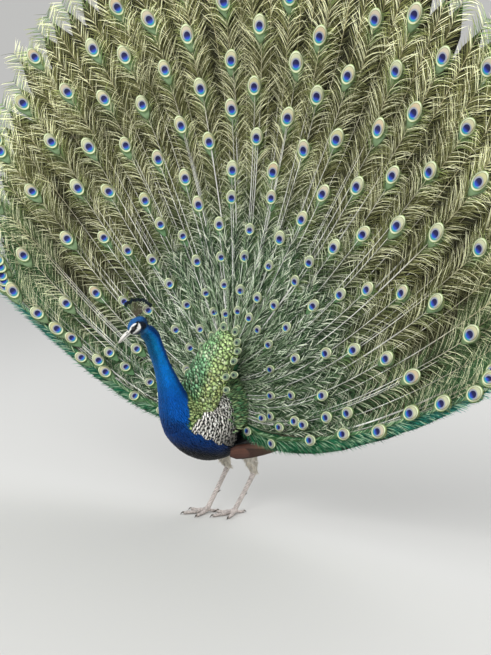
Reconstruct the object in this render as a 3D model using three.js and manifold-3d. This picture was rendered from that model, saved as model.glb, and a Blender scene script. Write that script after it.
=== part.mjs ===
// A displaying blue peacock, life size, standing with its train spread in a
// fan.  Millimetres, +Z up.  The bird faces -Y, so +X is its left side.  The
// body is turned a little to its right under the fan, and the head further.
// Everything is laid out from the standing point between the feet; the last
// lines move the whole bird so that the middle of its outline is the origin.

import * as THREE from 'three';
import { mergeVertices } from 'three/addons/utils/BufferGeometryUtils.js';
import Module from 'manifold-3d';

// ---------------------------------------------------------------- dimensions

const GAP = 0.35; // clearance between neighbouring pieces
const SLIVER = 0.03; // faces thinner than this are merged into their neighbours

// The body's middle plane passes through the standing point, turned this far
// to the bird's right.  In it, "reach" is forward and "height" is up.
const BODY_YAW = 15;

// Ribs of the body from the rump to the top of the neck: where the rib's
// under or front edge lies, where its upper or back edge lies, half width.
const RIBS = [
  { under: [-128, 322], upper: [-122, 366], half: 18 },
  { under: [-122, 280], upper: [-114, 398], half: 38 },
  { under: [-92, 230], upper: [-92, 420], half: 54 },
  { under: [-50, 196], upper: [-62, 432], half: 69 },
  { under: [5, 184], upper: [-26, 436], half: 86 },
  { under: [70, 191], upper: [12, 436], half: 95 },
  { under: [134, 223], upper: [50, 428], half: 92 },
  { under: [188, 280], upper: [82, 414], half: 76 },
  { under: [212, 343], upper: [106, 404], half: 58 },
  { under: [220, 408], upper: [124, 416], half: 43 },
  { under: [226, 460], upper: [159, 468], half: 34.5 },
  { under: [238, 508], upper: [187, 520], half: 28 },
  { under: [257, 552], upper: [208, 572], half: 24 },
  { under: [272, 590], upper: [231, 622], half: 22 },
  { under: [294, 616], upper: [262, 650], half: 20 },
];
const TRUNK_END = 0.5; // along the ribs, 0 at the rump and 1 at the head
const NECK_MIDDLE = 0.72;

// Head, in its own frame: skull centre at the origin, bill towards -Y.
const HEAD = {
  reach: 301, height: 642, yaw: 42, pitch: 38, half: [19.5, 35, 25],
  taper: 0.34, // how much narrower the face is than the back of the skull
};
const EYE = { side: 15.6, forward: 12, up: 3.5, radius: 5.6 };
// The bill starts inside the skull at root and ends at tip.
const BILL = { root: 23, tip: 79, half: 7.4, upper: 8.8, lower: 5.4, hook: 5.5, drop: -2, under: 5 };
const CREST = {
  plumes: 11, spread: 84, length: 57, root: 19, rootSpread: 9, shaft: 0.55, vane: [0.9, 4.3, 10.2],
  lean: 38,
};

// Saddle: the scaled back, which climbs from the shoulders into the fan.
const SADDLE = [
  { reach: 92, height: 338, side: 0, half: 88, deep: 34 },
  { reach: 82, height: 388, side: 7, half: 94, deep: 42 },
  { reach: 64, height: 438, side: 15, half: 91, deep: 48 },
  { reach: 38, height: 488, side: 20, half: 84, deep: 50 },
  { reach: 6, height: 536, side: 20, half: 73, deep: 46 },
  { reach: -22, height: 573, side: 16, half: 54, deep: 34 },
  { reach: -34, height: 589, side: 12, half: 28, deep: 16 },
];

// Wings: a pad of coverts on the flank, and the folded quills below it.  The
// pad's place is along the ribs, its angle goes up from the keel, and it stays
// clear of the flank, with a thin edge and a bulging middle.
const WING = {
  place: 0.385, halfPlace: 0.125, angle: 95, halfAngle: 46, rake: 0.015,
  spread: 80, clear: 2.5, edge: 3, bulge: 9,
};
const QUILLS = {
  start: [6, 80, 219], end: [-236, 98, 221], rootHeight: 44, tipHeight: 6, thick: 7, bow: -4,
  rootTaper: 0.5, taperUntil: 0.15, // the root narrows, under the wing
};

// Legs: heel is where the toes meet the tarsus, ankle its top.
const TARSUS = { bottom: 8.4, middle: 7.6, top: 9.8 };
const THIGH = { bottom: 14, top: 44, height: 262, bend: 5, overlap: 4 };
const LEGS = {
  left: { heel: [50, 28, 17], ankle: [64, 109, 126], hip: [66, 40], yaw: -22 },
  right: { heel: [-31, -15, 17], ankle: [-14, 66, 142], hip: [-40, 6], yaw: -34 },
};
const TOES = [
  { name: 'inner', turn: 42, length: 66, radius: 6.8 },
  { name: 'middle', turn: 0, length: 88, radius: 7.4 },
  { name: 'outer', turn: -42, length: 72, radius: 6.8 },
  { name: 'hind', turn: 178, length: 36, radius: 5.8 },
];
const SOLE = 1.1; // how far the pads are flattened by the ground
const CLAW = { from: 0.86, height: 1.2 };
const KNUCKLE = { half: [8.8, 8.8, 8.2], height: 11 };

// Fan of the train.  A feather leaves the middle at its own angle from the
// fan's axis, and the lowest ones droop before they rise.
const FAN = {
  centre: [0, 80, 453], lift: 57, roll: 4,
  lean: 0.2, curl: 0.000158, // leans back with height, curls forward with reach
  edge: 50, droop: 42000, droopStart: 300, droopPower: 4, // the outer feathers' angle
  rim: 1480, rimLoss: 430, notch: 42, feathers: 54,
  root: 14, thin: 2.2, thick: 13, thickUntil: 420,
};
const SECTORS = 18;
const TAIL = {
  reach: 420, root: 40, spread: 80, behind: 17, thick: 2.4, feathers: 9, notch: 14, shorter: 60,
};

// ----------------------------------------------------------------- materials

const finish = (color, roughness, metalness = 0) =>
  new THREE.MeshStandardMaterial({ color, roughness, metalness });

const MATERIALS = {
  blue: finish(0x1148a6, 0.5),
  saddle: finish(0x7f9a3a, 0.5),
  barred: finish(0xb9ac93, 0.8),
  chestnut: finish(0x8a4b2a, 0.8),
  buff: finish(0xb7a98c, 0.9),
  leg: finish(0xa79a92, 0.6),
  horn: finish(0xc9bfae, 0.4),
  eye: finish(0x1c1210, 0.05),
  crest: finish(0x14343f, 0.7),
  train: finish(0x55652f, 0.7),
  tail: finish(0x6d6152, 0.85),
};

// ------------------------------------------------------------------- solids

const wasm = await Module();
wasm.setup();

const radians = THREE.MathUtils.degToRad;
const clamp01 = (x) => Math.min(1, Math.max(0, x));

/** A geometry without normals and uvs, so that its corners are shared. */
function welded(geometry) {
  geometry.deleteAttribute('normal');
  geometry.deleteAttribute('uv');
  return mergeVertices(geometry, 1e-4);
}

/** Move every corner of a geometry by place(point), which edits the point. */
function warp(geometry, place) {
  const position = geometry.getAttribute('position');
  const point = new THREE.Vector3();
  for (let i = 0; i < position.count; i += 1) {
    point.fromBufferAttribute(position, i);
    place(point);
    position.setXYZ(i, point.x, point.y, point.z);
  }
  return welded(geometry);
}

/** The solid that a closed geometry bounds, whichever way its faces turn. */
function solid(geometry) {
  const source = geometry.index ? geometry : welded(geometry);
  const vertProperties = Float32Array.from(source.getAttribute('position').array);
  const triVerts = Uint32Array.from(source.index.array);
  const forward = new wasm.Manifold(new wasm.Mesh({ numProp: 3, vertProperties, triVerts }));
  if (forward.volume() > 0) return forward;
  for (let i = 0; i < triVerts.length; i += 3) {
    [triVerts[i + 1], triVerts[i + 2]] = [triVerts[i + 2], triVerts[i + 1]];
  }
  return new wasm.Manifold(new wasm.Mesh({ numProp: 3, vertProperties, triVerts }));
}

/** The largest single piece of a solid, without crumbs beside it or slivers. */
function mainPiece(body) {
  return body.decompose().reduce((a, b) => (b.volume() > a.volume() ? b : a)).simplify(SLIVER);
}

/** A named mesh of a solid in one of the materials. */
function part(name, body, material) {
  const { vertProperties, triVerts } = mainPiece(body).getMesh();
  const geometry = new THREE.BufferGeometry();
  geometry.setAttribute('position', new THREE.BufferAttribute(vertProperties, 3));
  geometry.setIndex(new THREE.BufferAttribute(triVerts, 1));
  geometry.computeVertexNormals();
  const mesh = new THREE.Mesh(geometry, MATERIALS[material]);
  mesh.name = name;
  return mesh;
}

/** A point given by reach, side (left) and height in the body's own frame. */
function bodyFrame(reach, side, height) {
  const yaw = radians(BODY_YAW);
  return new THREE.Vector3(
    side * Math.cos(yaw) - reach * Math.sin(yaw),
    -reach * Math.cos(yaw) - side * Math.sin(yaw),
    height,
  );
}

/** A tube through points of a curve, of a radius that changes along it. */
function tube(points, radiusAt, steps, sides = 8) {
  const curve = new THREE.CatmullRomCurve3(points);
  const frames = curve.computeFrenetFrames(steps);
  return solid(warp(new THREE.CylinderGeometry(1, 1, 1, sides, steps), (p) => {
    const t = clamp01(p.y + 0.5);
    const i = Math.round(t * steps);
    const radius = radiusAt(t);
    const centre = curve.getPointAt(t);
    p.copy(centre.addScaledVector(frames.normals[i], p.x * radius)
      .addScaledVector(frames.binormals[i], p.z * radius));
  }));
}

/** An ellipsoid with the given half sizes, turned and placed by a matrix. */
function ellipsoid(half, matrix, around = 20, rings = 14) {
  const geometry = new THREE.SphereGeometry(1, around, rings);
  geometry.scale(...half).applyMatrix4(matrix);
  return solid(welded(geometry));
}

// --------------------------------------------------------------------- body

const ribLine = (pick) => new THREE.CatmullRomCurve3(
  RIBS.map((rib) => new THREE.Vector3(rib[pick][0], rib[pick][1], rib.half)),
);
const UNDER = ribLine('under');
const UPPER = ribLine('upper');

/** A point of the body: t along the ribs, then where on the rib's ellipse:
 *  side is 1 at the left, down is 1 at the under edge; grown outwards. */
function bodyPoint(t, side, down, grow) {
  const under = UNDER.getPoint(t);
  const upper = UPPER.getPoint(t);
  const deep = Math.hypot(under.x - upper.x, under.y - upper.y) / 2;
  const across = down * (1 + grow / deep);
  return bodyFrame(
    (under.x + upper.x) / 2 + (across * (under.x - upper.x)) / 2,
    side * (under.z + grow),
    (under.y + upper.y) / 2 + (across * (under.y - upper.y)) / 2,
  );
}

/** A length of the body between two fractions of its ribs, grown all round. */
function bodyLength(from, to, steps, grow = 0) {
  return solid(warp(new THREE.CylinderGeometry(1, 1, 1, 18, steps), (p) => {
    const t = from + (to - from) * clamp01(p.y + 0.5);
    p.copy(bodyPoint(t, p.x, -p.z, grow));
  }));
}

const SEAM = 0.0006; // half of the gap between two lengths, along the ribs
const trunk = bodyLength(0, TRUNK_END - SEAM, 12);
const trunkRoom = bodyLength(0, TRUNK_END, 12, 2 * GAP);
const neckLower = bodyLength(TRUNK_END + SEAM, NECK_MIDDLE - SEAM, 6);
const neckRoom = bodyLength(TRUNK_END, NECK_MIDDLE - SEAM, 6, 2 * GAP);

// --------------------------------------------------------------------- head

const headMatrix = new THREE.Matrix4()
  .makeTranslation(bodyFrame(HEAD.reach, 0, HEAD.height))
  .multiply(new THREE.Matrix4().makeRotationZ(-radians(HEAD.yaw)))
  .multiply(new THREE.Matrix4().makeRotationX(radians(HEAD.pitch)));

/** The skull: an egg that narrows towards the bill. */
function skull(grow) {
  const [halfWidth, halfLength, halfHeight] = HEAD.half.map((half) => half + grow);
  const geometry = warp(new THREE.SphereGeometry(1, 16, 11), (p) => {
    const face = clamp01(-p.y);
    const narrow = 1 - HEAD.taper * face * face;
    p.set(p.x * halfWidth * narrow, p.y * halfLength, p.z * halfHeight * narrow);
  });
  return solid(geometry.applyMatrix4(headMatrix));
}

/** An eyeball on one side (1 left, -1 right), grown by a clearance. */
function eyeball(side, grow) {
  const place = new THREE.Matrix4().makeTranslation(side * EYE.side, -EYE.forward, EYE.up);
  const half = Array(3).fill(EYE.radius + grow);
  return ellipsoid(half, headMatrix.clone().multiply(place), 10, 8);
}

/** One half of the bill: a cone that hooks down, flat where the halves meet. */
function bill(upper) {
  const height = upper ? BILL.upper : BILL.lower;
  const tip = upper ? BILL.tip : BILL.tip - BILL.under;
  const geometry = warp(new THREE.CylinderGeometry(1, 1, 1, 10, 5), (p) => {
    const t = clamp01(p.y + 0.5);
    const round = Math.sqrt(1 - Math.min(0.985, t ** 2.4));
    const z = upper ? Math.max(0, p.z) : Math.min(0, p.z);
    p.set(
      p.x * BILL.half * round,
      -THREE.MathUtils.lerp(BILL.root, tip, t),
      BILL.drop + (upper ? GAP / 2 : -GAP / 2) + z * height * round - BILL.hook * t ** 2.6,
    );
  });
  return solid(geometry.applyMatrix4(headMatrix));
}

/** The crest: a flat fan of bare shafts, each with a small vane at its end. */
function crest() {
  const { half } = HEAD;
  const root = new THREE.Vector3(0, CREST.root, half[2] + 1.4);
  const base = ellipsoid(
    [2.2, 7, 2.2],
    headMatrix.clone().multiply(new THREE.Matrix4().makeTranslation(root)),
    8,
    5,
  );
  let whole = base;
  for (let i = 0; i < CREST.plumes; i += 1) {
    const share = i / (CREST.plumes - 1) - 0.5;
    const angle = radians(CREST.lean + CREST.spread * share);
    const along = new THREE.Vector3(0, Math.sin(angle), Math.cos(angle));
    const foot = root.clone().add(new THREE.Vector3(0, share * CREST.rootSpread, 0));
    const tip = foot.clone().addScaledVector(along, CREST.length * (1 - 0.25 * share * share));
    const turn = new THREE.Matrix4().makeRotationX(-angle);
    const shaft = new THREE.CylinderGeometry(CREST.shaft, CREST.shaft, foot.distanceTo(tip), 3)
      .rotateX(Math.PI / 2).applyMatrix4(turn);
    const middle = foot.clone().lerp(tip, 0.5);
    const vane = new THREE.OctahedronGeometry(1)
      .scale(...CREST.vane).applyMatrix4(turn);
    shaft.translate(middle.x, middle.y, middle.z).applyMatrix4(headMatrix);
    vane.translate(tip.x, tip.y, tip.z).applyMatrix4(headMatrix);
    whole = whole.add(solid(welded(shaft))).add(solid(welded(vane)));
  }
  return whole;
}

const skullRoom = skull(GAP);
const eyeRoom = [1, -1].map((side) => eyeball(side, GAP));
const head = eyeRoom.reduce((rest, room) => rest.subtract(room), skull(0));
const neckUpper = bodyLength(NECK_MIDDLE + SEAM, 1, 8).subtract(skullRoom);

// ------------------------------------------------------------ saddle, wings

/** The saddle: ribs whose front faces climb, grown by a clearance. */
function saddleBody(grow) {
  const line = new THREE.CatmullRomCurve3(
    SADDLE.map((rib) => new THREE.Vector3(rib.reach, rib.height, rib.side)),
  );
  const sizes = new THREE.CatmullRomCurve3(
    SADDLE.map((rib) => new THREE.Vector3(rib.half, rib.deep, 0)),
  );
  return solid(warp(new THREE.CylinderGeometry(1, 1, 1, 14, 7), (p) => {
    const t = clamp01(p.y + 0.5);
    const centre = line.getPoint(t);
    const size = sizes.getPoint(t);
    const forward = line.getTangent(t);
    const deep = p.z * (size.y + grow);
    p.copy(bodyFrame(
      centre.x - forward.y * deep,
      centre.z + p.x * (size.x + grow),
      centre.y + forward.x * deep,
    ));
  }));
}

/** A wing's pad of coverts on one side: a lens that lies on the flank, round
 *  a middle given by its place along the ribs and its angle from the keel. */
function wingPad(side, grow) {
  const geometry = new THREE.SphereGeometry(1, 16, 8).rotateX(Math.PI / 2);
  return solid(warp(geometry, (p) => {
    p.x *= 1 + grow / WING.spread;
    p.y *= 1 + grow / WING.spread;
    const t = WING.place + p.x * WING.halfPlace + p.y * WING.rake;
    const angle = radians(WING.angle + p.y * WING.halfAngle);
    const level = Math.abs(p.z) < 0.01 ? 0 : Math.sign(p.z);
    const rise = level > 0 ? WING.edge + WING.bulge * p.z : ((1 + level) * WING.edge) / 2;
    const out = WING.clear + rise + level * grow;
    p.copy(bodyPoint(t, side * Math.sin(angle), Math.cos(angle), out));
  }));
}

/** The folded quills: a blade that tapers backwards from under the pad. */
function quills(side, grow) {
  const start = new THREE.Vector3(...QUILLS.start);
  const end = new THREE.Vector3(...QUILLS.end);
  return solid(warp(new THREE.CylinderGeometry(1, 1, 1, 8, 5), (p) => {
    const t = clamp01(p.y + 0.5);
    const spot = start.clone().lerp(end, t);
    const full = THREE.MathUtils.lerp(QUILLS.rootHeight, QUILLS.tipHeight, t ** 1.4) / 2;
    const rise = clamp01(t / QUILLS.taperUntil);
    const height = full * THREE.MathUtils.lerp(QUILLS.rootTaper, 1, Math.sqrt(rise));
    const thick = (QUILLS.thick * (1 - 0.5 * t)) / 2;
    p.copy(bodyFrame(
      spot.x,
      side * (spot.y + p.x * (thick + grow)),
      spot.z + p.z * (height + grow) + QUILLS.bow * Math.sin(Math.PI * t),
    ));
  }));
}

const saddleRoom = saddleBody(GAP);
const saddle = saddleBody(0).subtract(trunkRoom).subtract(neckRoom);

// --------------------------------------------------------------------- legs

/** A toe: a tapering tube with a pad at the heel and a claw at its end. */
function toe(heel, yaw, { turn, length, radius }) {
  const angle = radians(yaw - turn);
  const ahead = new THREE.Vector3(Math.sin(angle), -Math.cos(angle), 0);
  const low = radius - SOLE;
  const at = (share, height) => new THREE.Vector3(heel.x, heel.y, height)
    .addScaledVector(ahead, length * share);
  const points = [
    at(0, heel.z - 4), at(0.22, low + 3.4), at(0.5, low), at(0.8, low), at(1, CLAW.height),
  ];
  return tube(points, (t) => radius * (1.08 - 0.42 * t) * (t > CLAW.from ? 3.2 - 2.5 * t : 1), 5, 6);
}

/** The foot: four toes joined at the heel, flattened where they stand. */
function foot({ heel, yaw }) {
  const spot = new THREE.Vector3(...heel);
  const place = new THREE.Matrix4().makeTranslation(spot.x, spot.y, KNUCKLE.height);
  const knob = ellipsoid(KNUCKLE.half, place, 10, 6);
  const joined = TOES.reduce((whole, one) => whole.add(toe(spot, yaw, one)), knob);
  const ground = new THREE.BoxGeometry(600, 600, 40).translate(spot.x, spot.y, -20);
  return joined.subtract(solid(welded(ground)));
}

/** The tarsus: a slim shank, thicker at both joints. */
function tarsus({ heel, ankle }, grow) {
  const points = [new THREE.Vector3(...heel), new THREE.Vector3(...ankle)];
  const { bottom, middle, top } = TARSUS;
  const radius = (t) => THREE.MathUtils.lerp(
    THREE.MathUtils.lerp(bottom, middle, clamp01(t * 3)),
    top,
    clamp01((t - 0.62) / 0.38) ** 2,
  ) + grow;
  return tube(points, radius, 5, 8);
}

/** The feathered thigh, from inside the flank down to the ankle. */
function thigh({ ankle, hip }) {
  const end = new THREE.Vector3(...ankle).add(new THREE.Vector3(0, 0, THIGH.overlap));
  const start = new THREE.Vector3(...hip, THIGH.height);
  const between = start.clone().lerp(end, 0.55).add(new THREE.Vector3(0, THIGH.bend, 0));
  const radius = (t) => THREE.MathUtils.lerp(THIGH.top, THIGH.bottom, Math.sin((t * Math.PI) / 2));
  return tube([start, between, end], radius, 5, 10);
}

// ----------------------------------------------------------------- the fan

/** Angle of a feather from the fan's axis at a reach; place runs -1 to 1. */
function featherAngle(place, reach) {
  const droop = Math.abs(place) ** FAN.droopPower * (FAN.droop / (reach + FAN.droopStart));
  return place * FAN.edge + Math.sign(place) * droop;
}

/** A point of the fan's surface; depth is behind it, slip is along its ring. */
function fanPoint(angleDegrees, reach, depth, slip = 0) {
  const angle = radians(angleDegrees + FAN.roll);
  return new THREE.Vector3(
    FAN.centre[0] + reach * Math.sin(angle) + slip * Math.cos(angle),
    FAN.centre[1] + FAN.lean * reach * Math.cos(angle) - FAN.curl * reach ** 2 + depth,
    FAN.centre[2] + (reach + FAN.lift) * Math.cos(angle) - slip * Math.sin(angle),
  );
}

/** How far the feathers reach at a place, with a notch between the tips. */
function rimReach(place) {
  const wave = (1 - Math.cos(place * FAN.feathers * Math.PI)) / 2;
  return FAN.rim - FAN.rimLoss * place ** 10 - FAN.notch * (1 - wave);
}

/** One sector of the train: a thin curved leaf, thicker near its roots.  The
 *  two halves of the fan mirror each other, so that both twist the same way. */
function trainSector(index) {
  const from = (2 * index) / SECTORS - 1;
  const side = index < SECTORS / 2 ? -1 : 1;
  return solid(warp(new THREE.BoxGeometry(1, 1, 1, 6, 5, 1), (p) => {
    const place = from + (2 / SECTORS) * (side * p.x + 0.5);
    const reach = THREE.MathUtils.lerp(FAN.root, rimReach(place), clamp01(p.y + 0.5) ** 1.4);
    const thick = THREE.MathUtils.lerp(FAN.thick, FAN.thin, clamp01(reach / FAN.thickUntil));
    p.copy(fanPoint(featherAngle(place, reach), reach, p.z * thick, -2 * side * p.x * GAP));
  }));
}

/** One side of the stiff tail that props the train up from behind. */
function tailSide(side) {
  return solid(warp(new THREE.BoxGeometry(1, 1, 1, 18, 1, 1), (p) => {
    const place = p.x + 0.5;
    const wave = (1 - Math.cos(place * TAIL.feathers * 2 * Math.PI)) / 2;
    const tip = TAIL.reach - TAIL.notch * (1 - wave) - TAIL.shorter * place ** 3;
    const reach = THREE.MathUtils.lerp(TAIL.root, tip, clamp01(p.y + 0.5));
    const slip = side * GAP * (p.x > -0.49 ? 0 : 2);
    p.copy(fanPoint(side * place * TAIL.spread, reach, TAIL.behind + p.z * TAIL.thick, slip));
  }));
}

// ----------------------------------------------------------------- assembly

const peacock = new THREE.Group();
peacock.add(part('head', head, 'blue'));
peacock.add(part('bill_upper', bill(true).subtract(skullRoom), 'horn'));
peacock.add(part('bill_lower', bill(false).subtract(skullRoom), 'horn'));
peacock.add(part('crest', crest().subtract(skullRoom), 'crest'));
peacock.add(part('neck_upper', neckUpper, 'blue'));
peacock.add(part('neck_lower', neckLower, 'blue'));
peacock.add(part('trunk', trunk, 'blue'));
peacock.add(part('saddle', saddle, 'saddle'));

for (const [sideName, side] of [['left', 1], ['right', -1]]) {
  const leg = LEGS[sideName];
  const wingRoom = wingPad(side, 2 * GAP);
  const flankRoom = trunkRoom.add(wingRoom);
  const quillRoom = quills(side, GAP);
  const covertPad = wingPad(side, 0).subtract(trunkRoom).subtract(saddleRoom);
  const foldedQuills = quills(side, 0).subtract(flankRoom);
  const feathered = thigh(leg).subtract(flankRoom).subtract(quillRoom).subtract(tarsus(leg, GAP));
  peacock.add(part(`eye_${sideName}`, eyeball(side, 0), 'eye'));
  peacock.add(part(`wing_${sideName}`, covertPad, 'barred'));
  peacock.add(part(`quills_${sideName}`, foldedQuills, 'chestnut'));
  peacock.add(part(`thigh_${sideName}`, feathered, 'buff'));
  peacock.add(part(`tarsus_${sideName}`, tarsus(leg, 0).subtract(foot(leg)), 'leg'));
  peacock.add(part(`foot_${sideName}`, foot(leg), 'leg'));
  peacock.add(part(`tail_${sideName}`, tailSide(side).subtract(trunkRoom), 'tail'));
}

const fanRoom = trunkRoom.add(saddleRoom).add(wingPad(1, GAP)).add(wingPad(-1, GAP));
for (let i = 0; i < SECTORS; i += 1) {
  const name = `train_${String(i + 1).padStart(2, '0')}`;
  peacock.add(part(name, trainSector(i).subtract(fanRoom), 'train'));
}

const outline = new THREE.Box3().setFromObject(peacock);
const middle = outline.getCenter(new THREE.Vector3());
peacock.position.set(-middle.x, -middle.y, -outline.min.z);

export default peacock;
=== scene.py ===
"""A displaying peacock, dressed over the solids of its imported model.

Everything is in metres, +Z up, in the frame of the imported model. The bird faces -Y,
so +X is its left side. The body is turned a little to its right under the fan, and
the head further. Shapes are worked out as whole arrays: most of them are rings of
points carried along a path and closed in a tip, many copies at a time.
"""

import sys
import logging
import math
from collections.abc import Callable, Sequence
from dataclasses import dataclass
from enum import Enum

import bpy
import numpy as np
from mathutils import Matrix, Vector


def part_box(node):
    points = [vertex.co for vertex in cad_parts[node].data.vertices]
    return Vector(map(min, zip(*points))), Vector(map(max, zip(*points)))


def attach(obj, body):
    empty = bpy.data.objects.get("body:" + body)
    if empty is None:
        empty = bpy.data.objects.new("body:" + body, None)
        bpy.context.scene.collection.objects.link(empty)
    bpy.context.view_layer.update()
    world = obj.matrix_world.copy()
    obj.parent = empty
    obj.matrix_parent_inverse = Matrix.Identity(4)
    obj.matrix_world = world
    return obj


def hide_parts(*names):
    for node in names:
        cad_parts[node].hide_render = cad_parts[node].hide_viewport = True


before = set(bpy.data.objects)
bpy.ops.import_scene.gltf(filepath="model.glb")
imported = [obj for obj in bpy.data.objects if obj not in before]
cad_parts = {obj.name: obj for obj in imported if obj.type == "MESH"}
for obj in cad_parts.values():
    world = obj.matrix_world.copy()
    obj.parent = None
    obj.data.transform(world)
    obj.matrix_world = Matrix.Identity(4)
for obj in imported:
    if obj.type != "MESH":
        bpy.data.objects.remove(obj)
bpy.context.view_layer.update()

log = logging.getLogger("peacock")

Array = np.ndarray
Material = bpy.types.Material
Socket = bpy.types.NodeSocket
ROOT = "root"
SIDES = {1: "left", -1: "right"}
UP = np.array([0.0, 0.0, 1.0])
AWAY = np.array([0.0, 1.0, 0.0])  # from the camera's side to the bird's back
BLACK = np.zeros(3)
PATCH = 0.003  # how far one feather's patch reaches on the unwrap
STEP = 2e-3  # of the small differences that directions come from


# --- arithmetic


def srgb(code: str) -> Array:
    """Linear colour of a written #rrggbb one: c / 12.92, or ((c + 0.055) / 1.055) ** 2.4.

    Args:
        code: the colour, such as "#1148a6".

    Returns:
        Three linear numbers.
    """
    parts = np.array([int(code[i : i + 2], 16) for i in (1, 3, 5)]) / 255
    return np.where(parts <= 0.04045, parts / 12.92, ((parts + 0.055) / 1.055) ** 2.4)


def ramp(value: Array, low: float, high: float) -> Array:
    """Smooth step: s * s * (3 - 2 s) with s = (value - low) / (high - low), from 0 to 1."""
    share = np.clip((np.asarray(value) - low) / (high - low), 0, 1)
    return share * share * (3 - 2 * share)


def mix(first: Array, second: Array, share: Array) -> Array:
    """first + (second - first) * share, with the share spread over the last axis."""
    return first + (second - first) * np.asarray(share)[..., None]


def washed(code: str, *washes: tuple[str, Array]) -> Array:
    """A written colour that others cover in turn, each by its share."""
    colour = srgb(code)
    for cover, share in washes:
        colour = mix(colour, srgb(cover), share)
    return colour


def unit(vectors: Array) -> Array:
    """Each vector divided by its length."""
    return vectors / np.maximum(np.linalg.norm(vectors, axis=-1, keepdims=True), 1e-12)


def turned(degrees: float, axis: int) -> Array:
    """The 3 x 3 matrix that turns by an angle round axis 0, 1 or 2."""
    cosine = math.cos(math.radians(degrees))
    sine = math.sin(math.radians(degrees))
    matrix = np.eye(3)
    first, second = (axis + 1) % 3, (axis + 2) % 3
    matrix[first, first] = matrix[second, second] = cosine
    matrix[first, second] = -sine
    matrix[second, first] = sine
    return matrix


@dataclass(frozen=True)
class Spline:
    """A centripetal Catmull-Rom curve through rows of knots, as the solids have."""

    knots: Array

    def at(self, share: Array) -> Array:
        """Points of the curve: the cubic whose slopes come from the knots on both sides.

        Args:
            share: 0 at the first knot, 1 at the last, equal steps from knot to knot.

        Returns:
            One point for each share.
        """
        knots = self.knots
        line = np.vstack([2 * knots[0] - knots[1], knots, 2 * knots[-1] - knots[-2]])
        place = np.clip(share, 0, 1) * (len(knots) - 1)
        span = np.clip(np.floor(place).astype(int), 0, len(knots) - 2)
        rest = (place - span)[..., None]
        before, start, end, after = (line[span + i] for i in range(4))
        pace = [
            np.sqrt(np.linalg.norm(b - a, axis=-1, keepdims=True))
            for a, b in ((before, start), (start, end), (end, after))
        ]
        first, second, third = pace
        middle = (end - start) / second
        leave = (start - before) / first - (end - before) / (first + second) + middle
        reach = middle - (after - start) / (second + third) + (after - end) / third
        leave, reach = leave * second, reach * second
        bend = 3 * (end - start) - 2 * leave - reach
        twist = 2 * (start - end) + leave + reach
        return start + leave * rest + bend * rest**2 + twist * rest**3


# --- meshes in bulk


@dataclass
class Cloud:
    """Closed meshes gathered as arrays, with the layers that their material reads."""

    points: Array
    triangles: Array
    tint: Array  # a colour for each point
    vane: Array  # across -1 to 1 and along 0 to 1 on its own feather, for each point
    unwrap: Array  # the OFBake place of each point

    @staticmethod
    def join(clouds: Sequence["Cloud"]) -> "Cloud":
        """All the clouds as one, with the triangles renumbered."""
        starts = np.cumsum([0] + [len(cloud.points) for cloud in clouds])
        triangles = [cloud.triangles + start for cloud, start in zip(clouds, starts)]
        layers = {
            name: np.vstack([getattr(cloud, name) for cloud in clouds])
            for name in ("points", "tint", "vane", "unwrap")
        }
        return Cloud(triangles=np.vstack(triangles), **layers)

    def piece(self, name: str, material: Material, slot: str, *nodes: str) -> None:
        """Make the object, let it ride on the body and stand for its solids.

        Args:
            name: the piece's name.
            material: its finish.
            slot: a material slot's name; not used.
            nodes: the solids that it replaces.
        """
        mesh = bpy.data.meshes.new(name)
        corners = self.triangles.ravel().astype(np.int32)
        faces = len(self.triangles)
        mesh.vertices.add(len(self.points))
        mesh.vertices.foreach_set("co", self.points.astype(np.float32).ravel())
        mesh.loops.add(len(corners))
        mesh.loops.foreach_set("vertex_index", corners)
        mesh.polygons.add(faces)
        mesh.polygons.foreach_set("loop_start", np.arange(0, 3 * faces, 3, dtype=np.int32))
        mesh.polygons.foreach_set("loop_total", np.full(faces, 3, dtype=np.int32))
        mesh.polygons.foreach_set("use_smooth", np.ones(faces, dtype=bool))
        mesh.update(calc_edges=True)
        colour = mesh.attributes.new("Tint", "FLOAT_COLOR", "POINT")
        opaque = np.hstack([self.tint, np.ones((len(self.tint), 1))])
        colour.data.foreach_set("color", opaque.astype(np.float32).ravel())
        place = mesh.attributes.new("Vane", "FLOAT_VECTOR", "POINT")
        flat = np.hstack([self.vane, np.zeros((len(self.vane), 1))])
        place.data.foreach_set("vector", flat.astype(np.float32).ravel())
        bake = mesh.uv_layers.new(name="OFBake")
        bake.data.foreach_set("uv", self.unwrap[corners].astype(np.float32).ravel())
        mesh.materials.append(material)
        piece = bpy.data.objects.new(name, mesh)
        bpy.context.scene.collection.objects.link(piece)
        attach(piece, ROOT)
        if nodes:
            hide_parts(*nodes)
        log.info("%s: %d faces", name, faces)


def closing(rows: int, around: int) -> Array:
    """Triangles of one tube of rings that ends in a tip: walls, tip fan and base fan.

    The rings turn so that the walls face outwards when the path runs from base to tip.

    Args:
        rows: the number of rings.
        around: points round each.

    Returns:
        Three point numbers for each triangle.
    """
    ring = np.arange(around)
    after = (ring + 1) % around
    base = (np.arange(rows - 1) * around)[:, None]
    low, low_after = base + ring, base + after
    high, high_after = low + around, low_after + around
    walls = np.stack(
        [np.stack([low, low_after, high_after], -1), np.stack([low, high_after, high], -1)]
    ).reshape(-1, 3)
    last = (rows - 1) * around
    tip = np.stack([last + ring, last + after, np.full(around, rows * around)], -1)
    inner = np.arange(1, around - 1)
    floor = np.stack([np.zeros_like(inner), inner + 1, inner], -1)
    return np.vstack([walls, tip, floor])


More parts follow.
